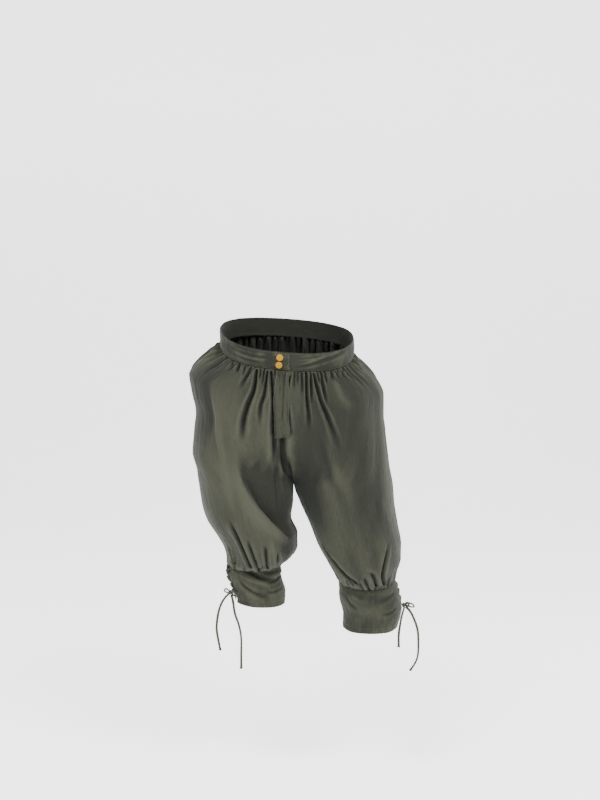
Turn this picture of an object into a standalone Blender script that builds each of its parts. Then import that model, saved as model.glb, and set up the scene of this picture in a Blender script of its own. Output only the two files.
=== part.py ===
"""Full knee breeches with a buttoned waistband, side pockets and laced knee cuffs, as worn.

Metres, +Z up. The front faces -Y and the wearer's left is +X. The origin is the middle of the
waist, level with the middle of the waistband at the wearer's sides.
"""

import math
from collections import namedtuple

import bmesh
import bpy
import numpy as np

# ---- Driving sizes -------------------------------------------------------------------------
CLOTH = 0.0015  # thickness of the panels' cloth
BAND_CLOTH = 0.0022  # the waistband is folded double
CUFF_CLOTH = 0.0020
LINING = 0.0010  # the pocket bags' thin cloth
SEAM_GAP = 0.0003  # between pieces that are sewn edge to edge
BAND_HEIGHT = 0.042
BAND_OVERLAP_END = 0.007  # x where the outer end of the waistband stops
BAND_UNDER_END = -0.036  # x where the inner end stops, under the outer one
BUTTON_RADIUS = 0.0080
BUTTON_THICKNESS = 0.0026
BUTTON_STAND_OFF = 0.0008
BUTTON_PLACES = {"button_upper": (-0.016, 0.009), "button_lower": (-0.018, -0.009)}  # x, height
ROUNDNESS = 0.18  # how much fuller than an ellipse a section's corners are
SIDE_SEAM = 0.462  # share of the way round from the inner edge to the inner edge
LACE_RADIUS = 0.0012
LACE_POINTS = 96
LACE_CLEARANCE = 0.0008  # from the lace to the loop it turns round
LOOP_CORD_RADIUS = 0.0009
LOOP_REACH = 0.0056  # how far a loop stands into the slit
LOOP_LIFT = LOOP_CORD_RADIUS + 0.0006  # of a loop's middle from the cuff's face
TIE_RADIUS = 0.0018  # the free ends of the laces
SLIT_WIDTH = 0.016  # of a cuff's laced opening
LOOPS_A_SIDE = 4
LOOP_FIRST = 0.12  # the first loop, and the step to the next, as shares of the cuff's height
LOOP_STEP = {"left": 0.155, "right": 0.175}
PANEL_COLUMNS = 17
# The table rows at which the panels have a row of points, with half rows where these are far apart
PANEL_ROWS = (0, 1, 2, 3, 3.5, 4, 4.5, 5, 5.5, 6, 6.5, 7, 7.5, 8, 9, 9.5, 10, 10.5, 11, 11.5, 12)
PANEL_ROWS += (13, 14, 15, 16)

# ---- The leg tubes, a row for each section from the waist seam to the cuff seam -------------
# z: height at the inner edge    inner, outer: x of the inner edge and of the side
# front, back: y of the foremost and rearmost cloth    seam: y of the inner edge once merged
# merge: 0 is an open half of the pelvis, 1 a closed leg    dip, rise: slope of the section
# towards the front and towards the back    lean: its slope along x
Section = namedtuple("Section", "z inner outer front back seam merge dip rise lean")
PELVIS_ROW = namedtuple("PelvisRow", "z inner left right front back seam merge dip rise lean")
PELVIS = [
    PELVIS_ROW(-BAND_HEIGHT / 2 - SEAM_GAP, 0.000, 0.160, -0.160, -0.120, 0.118, 0.000, 0.00, 0.36, 0.20, -0.07),
    PELVIS_ROW(-0.035, 0.000, 0.175, -0.180, -0.128, 0.126, 0.000, 0.00, 0.33, 0.19, -0.07),
    PELVIS_ROW(-0.060, 0.000, 0.205, -0.215, -0.137, 0.137, 0.000, 0.00, 0.28, 0.17, -0.06),
    PELVIS_ROW(-0.085, 0.000, 0.220, -0.235, -0.144, 0.148, 0.000, 0.00, 0.22, 0.14, -0.04),
    PELVIS_ROW(-0.120, 0.000, 0.230, -0.230, -0.149, 0.158, 0.002, 0.01, 0.17, 0.10, -0.02),
    PELVIS_ROW(-0.165, 0.000, 0.230, -0.220, -0.152, 0.165, 0.004, 0.04, 0.12, 0.07, 0.00),
    PELVIS_ROW(-0.215, -0.005, 0.235, -0.225, -0.153, 0.167, 0.006, 0.13, 0.08, 0.04, 0.00),
    PELVIS_ROW(-0.265, 0.000, 0.240, -0.230, -0.153, 0.164, 0.008, 0.34, 0.05, 0.02, 0.00),
    PELVIS_ROW(-0.305, 0.010, 0.245, -0.220, -0.152, 0.160, 0.010, 0.68, 0.02, 0.01, 0.00),
    PELVIS_ROW(-0.335, 0.015, 0.250, -0.215, -0.151, 0.157, 0.012, 1.00, 0.00, 0.00, 0.00),
]
LEFT_LEG = [
    Section(-0.385, 0.030, 0.255, -0.150, 0.153, 0.008, 1.0, 0.00, 0.00, 0.00),
    Section(-0.440, 0.055, 0.265, -0.146, 0.148, 0.002, 1.0, 0.00, 0.00, 0.00),
    Section(-0.490, 0.075, 0.275, -0.138, 0.144, -0.004, 1.0, 0.00, 0.00, 0.00),
    Section(-0.525, 0.095, 0.275, -0.129, 0.136, -0.008, 1.0, 0.02, 0.00, 0.00),
    Section(-0.550, 0.110, 0.265, -0.116, 0.117, -0.010, 1.0, 0.06, 0.00, 0.00),
    Section(-0.565, 0.120, 0.260, -0.098, 0.090, -0.011, 1.0, 0.14, 0.00, -0.01),
    Section(-0.575, 0.125, 0.260, -0.078, 0.056, -0.011, 1.0, 0.24, 0.00, -0.02),
]
RIGHT_LEG = [
    Section(-0.385, 0.015, -0.205, -0.147, 0.157, 0.014, 1.0, 0.00, 0.00, 0.00),
    Section(-0.425, 0.010, -0.190, -0.141, 0.158, 0.014, 1.0, 0.00, 0.00, 0.00),
    Section(-0.465, 0.025, -0.165, -0.131, 0.157, 0.014, 1.0, 0.00, 0.00, 0.00),
    Section(-0.495, 0.025, -0.150, -0.117, 0.150, 0.012, 1.0, 0.02, 0.00, 0.00),
    Section(-0.515, 0.015, -0.145, -0.103, 0.134, 0.009, 1.0, 0.05, 0.00, 0.00),
    Section(-0.530, -0.010, -0.145, -0.083, 0.106, 0.006, 1.0, 0.10, 0.00, 0.00),
    Section(-0.540, -0.015, -0.145, -0.057, 0.067, 0.005, 1.0, 0.17, 0.00, 0.00),
]
# ---- The knee cuffs, a row for each section from the gathers down to the hem ----------------
CuffRow = namedtuple("CuffRow", "z inner outer front back dip lean")
LEFT_CUFF = [
    CuffRow(-0.575 - SEAM_GAP, 0.125, 0.260, -0.078, 0.056, 0.24, -0.02),
    CuffRow(-0.610, 0.125, 0.270, -0.079, 0.060, 0.18, 0.00),
    CuffRow(-0.650, 0.135, 0.275, -0.076, 0.058, 0.14, 0.00),
    CuffRow(-0.690, 0.135, 0.265, -0.072, 0.053, 0.12, 0.00),
]
RIGHT_CUFF = [
    CuffRow(-0.540 - SEAM_GAP, -0.015, -0.145, -0.057, 0.067, 0.17, 0.00),
    CuffRow(-0.560, -0.015, -0.145, -0.059, 0.066, 0.17, 0.00),
    CuffRow(-0.585, -0.010, -0.135, -0.057, 0.066, 0.17, 0.00),
    CuffRow(-0.605, -0.005, -0.130, -0.056, 0.066, 0.17, 0.00),
    CuffRow(-0.630, -0.005, -0.125, -0.054, 0.064, 0.17, -0.04),
]
# ---- The largest folds, a row for each, by where their line lies as seen from that face ------
# kind: valley and ridge are symmetric, a lap drops on the side to the right of its line
# (x, z) of the start, middle and end, then the half width and the depth
Fold = namedtuple("Fold", "face kind x0 z0 x1 z1 x2 z2 width depth")
FOLDS = [
    Fold("front", "valley", -0.068, -0.085, -0.082, -0.145, -0.100, -0.235, 0.014, 0.011),
    Fold("front", "valley", -0.040, -0.080, -0.038, -0.150, -0.036, -0.250, 0.011, 0.010),
    Fold("front", "valley", 0.045, -0.075, 0.049, -0.140, 0.054, -0.215, 0.013, 0.010),
    Fold("front", "valley", 0.062, -0.075, 0.092, -0.165, 0.135, -0.255, 0.014, 0.010),
    Fold("front", "ridge", 0.104, -0.085, 0.130, -0.140, 0.180, -0.165, 0.018, 0.008),
    Fold("front", "valley", 0.078, -0.260, 0.105, -0.345, 0.150, -0.420, 0.022, 0.010),
    Fold("front", "lap", -0.112, -0.275, -0.083, -0.378, 0.000, -0.478, 0.020, 0.024),
    Fold("front", "ridge", -0.155, -0.240, -0.128, -0.350, -0.095, -0.480, 0.020, 0.009),
    Fold("front", "valley", 0.080, -0.470, 0.115, -0.515, 0.155, -0.560, 0.014, 0.007),
    Fold("front", "ridge", 0.178, -0.490, 0.200, -0.525, 0.205, -0.560, 0.014, 0.007),
    Fold("back", "valley", -0.080, -0.070, -0.092, -0.160, -0.105, -0.250, 0.015, 0.011),
    Fold("back", "valley", -0.035, -0.060, -0.045, -0.130, -0.060, -0.200, 0.014, 0.009),
    Fold("back", "valley", 0.040, -0.060, 0.052, -0.150, 0.070, -0.240, 0.015, 0.011),
    Fold("back", "valley", 0.092, -0.070, 0.112, -0.140, 0.140, -0.230, 0.014, 0.009),
    Fold("back", "ridge", 0.150, -0.300, 0.170, -0.400, 0.190, -0.500, 0.020, 0.009),
    Fold("back", "valley", 0.110, -0.360, 0.135, -0.440, 0.160, -0.520, 0.018, 0.009),
    Fold("back", "ridge", -0.120, -0.300, -0.105, -0.390, -0.090, -0.480, 0.020, 0.009),
    Fold("back", "valley", -0.070, -0.340, -0.065, -0.420, -0.068, -0.490, 0.018, 0.009),
]
# The gathers: count of pleats round one leg, their depth, and how far down or up they fade
GATHER_COUNT = 9
WAIST_GATHER_DEPTH = 0.0040
WAIST_GATHER_FADE = 0.050
CUFF_GATHER_DEPTH = 0.0045
CUFF_GATHER_FADE = 0.050

# ---- The side pockets -----------------------------------------------------------------------
POCKET_TOP = 1.0  # the mouth's ends, counted in rows of PELVIS
POCKET_BOTTOM = 5.5
POCKET_GAPE = 0.026  # how far the back edge of the mouth stands inside the front edge
POCKET_SPREAD = 0.10  # share of the way round over which the back panel draws in
POCKET_REACH = 0.135  # share of the way round that the bag goes forward
POCKET_DEPTH = 0.030  # room between the bag's two leaves
POCKET_BAG_END = 8.0  # the bag's lower end, in rows of PELVIS
POCKET_CLEARANCE = 0.0070  # from the front panel's face to the bag's outer leaf
POCKET_COLUMNS = 11  # across the bag's cloth, from the mouth's front edge to its rear edge
POCKET_FOLD = 5  # the one of them where its two leaves are sewn together

# ---- The fly ----------------------------------------------------------------------------------
PLACKET_EDGES = (-0.027, 0.007)  # x of the strip's edges
PLACKET_ROWS = 6.05  # its lower end, in rows of PELVIS
PLACKET_CLEARANCE = 0.0018  # off the fronts

# ---- Knots, bows and free ends ----------------------------------------------------------------
KNOT_RADII = (0.0042, 0.0042, 0.0036)
KNOT_OUT = 0.0105  # from the cuff's face to the knot's middle
# Offsets from the knot's middle to the points that each bow loop and each free end follows.
BOW_ROUTES = {
    ("right", "a"): [(-0.004, -0.002, 0.003), (-0.009, -0.003, 0.008), (-0.014, -0.003, 0.008),
                     (-0.015, -0.003, 0.003), (-0.010, -0.003, 0.000), (-0.0052, -0.001, -0.0008)],
    ("right", "b"): [(0.002, -0.0045, 0.002), (0.005, -0.011, 0.004), (0.010, -0.016, 0.000),
                     (0.012, -0.016, -0.006), (0.007, -0.011, -0.006), (0.0025, -0.0045, -0.002)],
    ("left", "a"): [(0.0045, -0.002, 0.003), (0.012, -0.006, 0.006), (0.021, -0.008, 0.003),
                    (0.024, -0.008, -0.003), (0.015, -0.006, -0.003), (0.0056, -0.001, 0.0000)],
    ("left", "b"): [(0.003, 0.0038, 0.002), (0.008, 0.012, 0.004), (0.013, 0.020, 0.000),
                    (0.012, 0.021, -0.007), (0.008, 0.013, -0.006), (0.0035, 0.0042, -0.002)],
}
TIE_ROUTES = {
    ("right", "a"): [(-0.004, -0.0035, -0.0035), (-0.012, -0.008, -0.010), (-0.022, -0.012, -0.025),
                     (-0.030, -0.012, -0.050), (-0.034, -0.012, -0.085), (-0.030, -0.012, -0.115),
                     (-0.025, -0.012, -0.140)],
    ("right", "b"): [(0.001, -0.0015, -0.0055), (0.005, -0.006, -0.020), (0.010, -0.010, -0.050),
                     (0.020, -0.012, -0.080), (0.025, -0.012, -0.110), (0.025, -0.012, -0.150),
                     (0.025, -0.012, -0.185)],
    ("left", "a"): [(0.0045, 0.0015, -0.0048), (0.015, -0.003, -0.015), (0.025, -0.008, -0.035),
                    (0.033, -0.010, -0.060), (0.035, -0.010, -0.090), (0.034, -0.010, -0.120),
                    (0.028, -0.010, -0.140), (0.015, -0.010, -0.160)],
    ("left", "b"): [(0.001, 0.0015, -0.0055), (-0.004, 0.004, -0.025), (-0.008, 0.005, -0.045),
                    (-0.012, 0.005, -0.075), (-0.012, 0.004, -0.105)],
}

GARMENT = "breeches"  # the empty that the pieces belong to, at the middle of the waist
SIDES = {"left": 1.0, "right": -1.0}
LEGS = {"left": LEFT_LEG, "right": RIGHT_LEG}
CUFFS = {"left": LEFT_CUFF, "right": RIGHT_CUFF}
FORK_ROW = len(PELVIS) - 1
LAST_ROW = FORK_ROW + len(LEFT_LEG)
# Where each cuff's slit is, as a share of the way round, and the knot's place down the slit
SLIT_AT = {"left": 0.535, "right": 0.445}
KNOT_DOWN = {"left": 0.62, "right": 0.69}
KNOT_ACROSS = {"left": 0.0, "right": -0.004}

Material = namedtuple("Material", "colour roughness metallic")
FINISHES = {
    "cloth": Material((0.082, 0.088, 0.070), 0.90, 0.0),
    "lace": Material((0.060, 0.065, 0.052), 0.85, 0.0),
    "brass": Material((0.85, 0.52, 0.13), 0.38, 1.0),
}


def smooth(low, high, x):
    """0 below low, 1 above high, and a smooth step between."""
    share = np.clip((x - low) / (high - low), 0.0, 1.0)
    return share * share * (3.0 - 2.0 * share)


# ---- Sections ------------------------------------------------------------------------------
def leg_table(side):
    """The rows of one half, from the waist to the cuff, as an array with Section's columns."""
    rows = [
        Section(r.z, r.inner, getattr(r, side), *r[4:]) for r in PELVIS
    ] + LEGS[side]
    return np.array(rows)


def row_slopes(table):
    """Slopes that keep each column from overshooting its rows. At the fork both legs share them."""
    steps = np.diff(table, axis=0)
    before, after = steps[:-1], steps[1:]
    same_way = before * after > 0
    total = np.where(same_way, before + after, 1.0)
    inner_slopes = np.where(same_way, 2.0 * before * after / total, 0.0)
    slopes = np.vstack([steps[:1], inner_slopes, steps[-1:]])
    if len(table) > FORK_ROW + 1:
        shared = [k for k, name in enumerate(Section._fields) if name not in ("outer", "merge")]
        slopes[FORK_ROW, shared] = steps[FORK_ROW - 1, shared]
    return slopes


def at_row(table, row):
    """The columns of a table at any place between its rows, as a list of arrays."""
    row = np.clip(np.asarray(row, float), 0.0, len(table) - 1.0)
    low = np.minimum(row.astype(int), len(table) - 2)
    s = (row - low)[..., None]
    slopes = row_slopes(table) if len(table) > FORK_ROW else np.gradient(table, axis=0)
    value = (
        (2 * s**3 - 3 * s**2 + 1) * table[low]
        + (s**3 - 2 * s**2 + s) * slopes[low]
        + (3 * s**2 - 2 * s**3) * table[low + 1]
        + (s**3 - s**2) * slopes[low + 1]
    )
    return [value[..., k] for k in range(value.shape[-1])]


def tilted(z, y, middle, dip, rise, x, inner, lean):
    """Height on a section that slopes down to the front and up to the back."""
    forward = y - middle
    soft = np.sqrt(forward**2 + 0.02**2) - 0.02
    return z + rise * (forward + soft) / 2 + dip * (forward - soft) / 2 + lean * (x - inner)


def leg_form(side, round_share, row):
    """Points of one half without its folds. round_share runs 0 to 1 from the inner edge, over the
    front, the side and the back, to the inner edge again."""
    columns = at_row(leg_table(side), row)
    z, inner, outer, front, back, seam, merge, dip, rise, lean = columns
    # A section half way from open to closed would come out shallower than either.
    middle, depth = (front + back) / 2, (back - front) / 2 * (1 + 0.37 * merge * (1 - merge))
    half_turn = (round_share - 0.5) * math.pi
    open_x = inner + (outer - inner) * np.cos(half_turn)
    open_y = middle + depth * np.sin(half_turn) * (1 + ROUNDNESS * np.cos(half_turn) ** 2)
    turn = 2 * half_turn
    centre, reach = (inner + outer) / 2, (outer - inner) / 2
    closed_x = centre + reach * np.cos(turn)
    closed_y = middle + depth * np.sin(turn) * (1 + ROUNDNESS * np.cos(turn) ** 2)
    closed_y = closed_y + (seam - middle) * ((1 - np.cos(turn)) / 2) ** 2
    x = (1 - merge) * open_x + merge * closed_x
    y = (1 - merge) * open_y + merge * closed_y
    return np.stack([x, y, tilted(z, y, middle, dip, rise, x, inner, lean)], axis=-1)


# ---- Folds ---------------------------------------------------------------------------------
def fold_line(fold):
    """The line that a fold follows, as points from its start through its middle to its end."""
    t = np.linspace(0, 1, 13)[:, None]
    start, middle, end = (np.array(p) for p in (fold[2:4], fold[4:6], fold[6:8]))
    bend = 2 * middle - (start + end) / 2
    return (1 - t) ** 2 * start + 2 * t * (1 - t) * bend + t**2 * end


def fold_depth(fold, x, z):
    """How far one fold moves the cloth outwards at x, z."""
    line = fold_line(fold)
    places = np.stack([x, z], axis=-1)[..., None, :]
    steps = np.diff(line, axis=0)
    away = places - line[:-1]
    share = np.clip((away * steps).sum(-1) / (steps**2).sum(-1), 0.0, 1.0)
    away = away - share[..., None] * steps
    far = (away**2).sum(-1)
    nearest = far.argmin(axis=-1)[..., None]

    def pick(values):
        return np.take_along_axis(np.broadcast_to(values, far.shape), nearest, -1)[..., 0]

    distance = np.sqrt(pick(far))
    along = (nearest[..., 0] + pick(share)) / len(steps)
    cross = pick(steps[:, 0] * away[..., 1] - steps[:, 1] * away[..., 0])
    strength = fold.depth * smooth(-0.02, 0.30, along) * (1 - 0.9 * smooth(0.60, 1.0, along))
    if fold.kind == "lap":
        right = np.where(cross > 0, distance, -distance) / fold.width
        return -strength * smooth(-1.0, 1.2, right) * np.exp(-np.clip(right, 0, None) / 4)
    sign = 1.0 if fold.kind == "ridge" else -1.0
    return sign * strength * np.exp(-((distance / fold.width) ** 2))


def gathers(side, round_share, row):
    """The pleats at the waist seam and at the cuff seam, uneven in spacing."""
    phase = 2 * math.pi * GATHER_COUNT * round_share
    uneven = phase + 1.3 * np.sin(phase * 0.23 + SIDES[side]) + 0.8 * np.sin(phase * 0.41)
    wave = np.sin(uneven) * (0.75 + 0.25 * np.sin(phase * 0.31 + 0.7))
    points = leg_form(side, round_share, row)
    top = leg_form(side, round_share, np.zeros_like(row))
    bottom = leg_form(side, round_share, np.full_like(row, LAST_ROW))
    below_waist = np.linalg.norm(points - top, axis=-1)
    above_cuff = np.linalg.norm(points - bottom, axis=-1)
    waist = WAIST_GATHER_DEPTH * np.exp(-((below_waist / WAIST_GATHER_FADE) ** 2))
    cuff = CUFF_GATHER_DEPTH * np.exp(-((above_cuff / CUFF_GATHER_FADE) ** 2))
    at_seam = smooth(0.0, 0.012, above_cuff)
    return wave * (waist + cuff * at_seam)


def pocket_mouth(row):
    """How open the pocket's mouth is, 0 to 1, along the side seam."""
    share = (row - POCKET_TOP) / (POCKET_BOTTOM - POCKET_TOP)
    return np.where((share > 0) & (share < 1), np.sin(math.pi * np.clip(share, 0, 1)) ** 0.8, 0.0)


def face_normals(function, round_share, row):
    """Outward normals of a surface given as a function of the way round and the row."""
    step = 0.008
    across = function(round_share + step, row) - function(round_share - step, row)
    down = function(round_share, row + step) - function(round_share, row - step)
    normals = np.cross(down, across)
    return normals / np.linalg.norm(normals, axis=-1, keepdims=True)


def within(round_share, row):
    """Brings a way round into 0 to 1: round again below the fork, held at the ends above it."""
    return np.where(row >= FORK_ROW, round_share % 1.0, np.clip(round_share, 0.0, 1.0))


def outward(side, round_share, row):
    """Normals of the form without folds, outwards."""

    def form(a, r):
        return leg_form(side, within(a, r), r)

    return face_normals(form, round_share, row) * SIDES[side]


def cloth(side, face, round_share, row):
    """Points on the outside of a finished panel: the form, its folds, gathers and pocket mouth."""
    row = np.clip(row, 0.0, float(LAST_ROW))
    round_share = within(round_share, row)
    points = leg_form(side, round_share, row)
    normals = outward(side, round_share, row)
    # The edges at the waist and at the cuff move only level, to stay along their bands.
    normals[..., 2] *= smooth(0.0, 1.0, row) * smooth(0.0, 1.0, LAST_ROW - row)
    normals /= np.linalg.norm(normals, axis=-1, keepdims=True)
    move = gathers(side, round_share, row)
    for fold in FOLDS:
        # Each half has the folds of its own side only, and those on its own face.
        if fold.face == face and fold.x1 * SIDES[side] > 0:
            move = move + fold_depth(fold, points[..., 0], points[..., 2])
    edge = np.minimum(round_share, 1 - round_share)
    side_seam = np.abs(round_share - SIDE_SEAM)
    # The folds die out at the inner edges, where the halves are sewn, and at the side seam.
    move = move * smooth(0.0, 0.06, edge) * smooth(0.0, 0.05, side_seam)
    # They also keep off the cuff seam, where the cloth is held.
    seam_row = smooth(0.0, 0.8, LAST_ROW - row)
    points = points + normals * (move * (0.35 + 0.65 * seam_row))[..., None]
    if face == "back":
        drawn = POCKET_GAPE * pocket_mouth(row) * (1 - smooth(0.0, POCKET_SPREAD, side_seam))
        points = points - normals * drawn[..., None]
    return points


# ---- Solids --------------------------------------------------------------------------------
def new_material(name, finish):
    """A Principled material for one piece, from FINISHES."""
    material = bpy.data.materials.new(f"{name}_{finish}")
    material.use_nodes = True
    shader = material.node_tree.nodes["Principled BSDF"]
    shader.inputs["Base Color"].default_value = (*FINISHES[finish].colour, 1.0)
    shader.inputs["Roughness"].default_value = FINISHES[finish].roughness
    shader.inputs["Metallic"].default_value = FINISHES[finish].metallic
    return material


def add_piece(name, data, finish):
    """Puts a mesh or a curve in the scene as one piece, under the garment's empty."""
    data.materials.append(new_material(name, finish))
    obj = bpy.data.objects.new(name, data)
    bpy.context.scene.collection.objects.link(obj)
    obj.parent = bpy.data.objects[GARMENT]
    return obj


def new_object(name, points, faces, finish):
    """A piece from points and faces, shaded smooth but for its edges."""
    mesh = bpy.data.meshes.new(name)
    mesh.from_pydata([tuple(float(c) for c in p) for p in points], [], faces)
    mesh.shade_smooth()
    mesh.set_sharp_from_angle(angle=0.6)
    return add_piece(name, mesh, finish)


def signed_volume(points, faces):
    """Six times the volume that the faces enclose, negative if they point inwards."""
    total = 0.0
    for face in faces:
        for k in range(1, len(face) - 1):
            a, b, c = points[face[0]], points[face[k]], points[face[k + 1]]
            total += float(np.dot(a, np.cross(b, c)))
    return total


def wall(name, outside, inside, finish):
    """A closed wall between two grids of points with the same rows and columns."""
    rows, columns = outside.shape[:2]
    points = np.vstack([outside.reshape(-1, 3), inside.reshape(-1, 3)])
    layer = rows * columns

    def index(row, column, deep):
        return row * columns + column + deep * layer

    faces = []
    for i in range(rows - 1):
        for j in range(columns - 1):
            a, b = index(i, j, 0), index(i + 1, j, 0)
            for face in ([a, b, b + 1], [a, b + 1, a + 1]):
                faces.append(face)
                faces.append([k + layer for k in reversed(face)])
    rim = [(0, j) for j in range(columns)]
    rim += [(i, columns - 1) for i in range(1, rows)]
    rim += [(rows - 1, j) for j in range(columns - 2, -1, -1)]
    rim += [(i, 0) for i in range(rows - 2, 0, -1)]
    for here, there in zip(rim, rim[1:] + rim[:1]):
        a, b = index(*here, 0), index(*there, 0)
        # Two pieces' edges that face each other across a seam are cut along the same diagonals.
        if there > here:
            faces += [[a, b, b + layer], [a, b + layer, a + layer]]
        else:
            faces += [[a, b, a + layer], [b, b + layer, a + layer]]
    if signed_volume(points, faces) < 0:
        faces = [list(reversed(face)) for face in faces]
    return new_object(name, points, faces, finish)


def grid_normals(grid):
    """Unit normals of a grid of points."""
    down = np.gradient(grid, axis=0)
    across = np.gradient(grid, axis=1)
    normals = np.cross(down, across)
    return normals / np.linalg.norm(normals, axis=-1, keepdims=True)


def seam_share(side, share, rows):
    """Half a seam's gap, as a share of the way round, at each row."""
    step = 0.002 if share < 0.5 else -0.002
    at, beside = leg_form(side, share + 0 * rows, rows), leg_form(side, share + step + 0 * rows, rows)
    return SEAM_GAP / 2 * abs(step) / np.linalg.norm(beside - at, axis=-1)


def panel_grid(side, face, rows):
    """The outside and inside points of a panel, on even columns between its two seams."""
    if face == "front":
        first = seam_share(side, 0.0, rows)
        last = SIDE_SEAM - seam_share(side, SIDE_SEAM, rows)
    else:
        first = SIDE_SEAM + seam_share(side, SIDE_SEAM, rows)
        last = 1 - seam_share(side, 1.0, rows)
    even = np.linspace(0, 1, PANEL_COLUMNS)
    share_grid = first[:, None] * (1 - even) + last[:, None] * even
    row_grid = np.repeat(rows[:, None], PANEL_COLUMNS, axis=1)
    outside = cloth(side, face, share_grid, row_grid)

    def surface(a, r):
        return cloth(side, face, a, r)

    normals = face_normals(surface, share_grid, row_grid) * SIDES[side]
    # At the waist and the cuff the cloth's edge is level, to lie along the band's edge.
    for edge in (0, -1):
        normals[edge, :, 2] = 0.0
        normals[edge] /= np.linalg.norm(normals[edge], axis=-1, keepdims=True)
    inside = outside - normals * CLOTH
    # Above the fork a half stays on its own side of the centre seam.
    seam_x = at_row(leg_table(side), row_grid)[1]
    for points in (outside, inside):
        beside = (points[..., 0] - seam_x) * SIDES[side]
        short = np.where(row_grid <= FORK_ROW, np.clip(SEAM_GAP / 2 - beside, 0, None), 0.0)
        points[..., 0] += short * SIDES[side]
    return outside, inside


def build_panels():
    """The two fronts and the two backs, sewn down the centre, the sides and the inside legs."""
    for side in SIDES:
        for face in ("front", "back"):
            outside, inside = panel_grid(side, face, np.array(PANEL_ROWS))
            wall(f"{face}_{side}", outside, inside, "cloth")


# ---- Waistband, fly and buttons -------------------------------------------------------------
def band_point(turn, height, out):
    """A point on the waistband: turn from the centre front towards the wearer's right, height
    from its middle, and out from its outer face."""
    top = PELVIS[0]
    middle, depth = (top.front + top.back) / 2, (top.back - top.front) / 2
    fuller = 1 + ROUNDNESS * np.sin(turn) ** 2
    x, y = -top.left * np.sin(turn), middle - depth * np.cos(turn) * fuller
    z = tilted(height, y, middle, top.dip, top.rise, x, 0.0, top.lean)
    return np.stack([x - out * np.sin(turn), y - out * np.cos(turn) * fuller, z], axis=-1)


def build_waistband():
    """One long strip round the waist, whose inner end passes under its outer end."""
    half_width = PELVIS[0].left
    first = -math.asin(BAND_OVERLAP_END / half_width)
    last = 2 * math.pi - math.asin(BAND_UNDER_END / half_width)
    turns = np.linspace(first, last, 55)
    heights = np.linspace(BAND_HEIGHT / 2, -BAND_HEIGHT / 2, 3)
    turn, height = np.meshgrid(turns, heights)
    under = smooth(2 * math.pi - 0.36, 2 * math.pi - 0.12, turn)
    inset = (BAND_CLOTH + 2 * SEAM_GAP) * under
    outside = band_point(turn, height, -inset)
    inside = band_point(turn, height, -inset - BAND_CLOTH)
    wall("waistband", outside, inside, "cloth")


def build_placket():
    """The fly's outer strip, on the fronts, made from the panels' points moved out."""
    rows = np.array([row for row in PANEL_ROWS if row < PLACKET_ROWS] + [PLACKET_ROWS])
    rows[0] = 0.05
    across = np.linspace(*PLACKET_EDGES, 8)
    right = panel_grid("right", "front", rows)[0]
    left = panel_grid("left", "front", rows)[0]
    grid = np.empty((len(rows), len(across), 3))
    for line, beside, other in zip(grid, right, left):
        points = np.vstack([beside[::-1], other])
        line[:, 0] = across
        for axis in (1, 2):
            line[:, axis] = np.interp(across, points[:, 0], points[:, axis])
    normals = grid_normals(grid)
    normals *= -np.sign(normals[..., 1:2])
    normals[0, :, 2] = 0.0
    outside = grid + normals * (PLACKET_CLEARANCE + CLOTH)
    wall("fly_placket", outside, grid + normals * PLACKET_CLEARANCE, "cloth")


def build_buttons():
    """Two round domed buttons, one above the other, on the waistband's outer end."""
    profile = [(0.0, 0.0), (0.88, 0.0), (1.0, 0.3), (0.97, 0.72), (0.84, 0.92), (0.6, 1.0), (0.0, 1.0)]
    turned = bmesh.new()
    corners = [
        turned.verts.new((r * BUTTON_RADIUS, 0.0, h * BUTTON_THICKNESS)) for r, h in profile
    ]
    lines = [turned.edges.new(pair) for pair in zip(corners, corners[1:])]
    bmesh.ops.spin(
        turned, geom=corners + lines, axis=(0, 0, 1), cent=(0, 0, 0), steps=20, angle=2 * math.pi
    )
    bmesh.ops.remove_doubles(turned, verts=turned.verts, dist=1e-6)
    bmesh.ops.recalc_face_normals(turned, faces=turned.faces)
    for name, (x, height) in BUTTON_PLACES.items():
        mesh = bpy.data.meshes.new(name)
        turned.to_mesh(mesh)
        mesh.shade_smooth()
        mesh.set_sharp_from_angle(angle=0.6)
        turn = math.asin(-x / PELVIS[0].left)
        ahead = band_point(turn, height, 0.01) - band_point(turn, height, 0.0)
        button = add_piece(name, mesh, "brass")
        # The flat back rests on a curved band, so it stands off by what the curve falls away.
        button.location = band_point(turn, height, BUTTON_STAND_OFF)
        button.rotation_euler = (math.pi / 2, 0.0, math.atan2(ahead[0], -ahead[1]))
    turned.free()


# ---- Pocket bags -----------------------------------------------------------------------------
def short_of_seam(grid, column):
    """A grid whose first or last column stops half a gap short of a seam."""
    grid = grid.copy()
    back = grid[:, 1 if column == 0 else -2] - grid[:, column]
    grid[:, column] += back / np.linalg.norm(back, axis=-1, keepdims=True) * SEAM_GAP / 2
    return grid


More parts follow.
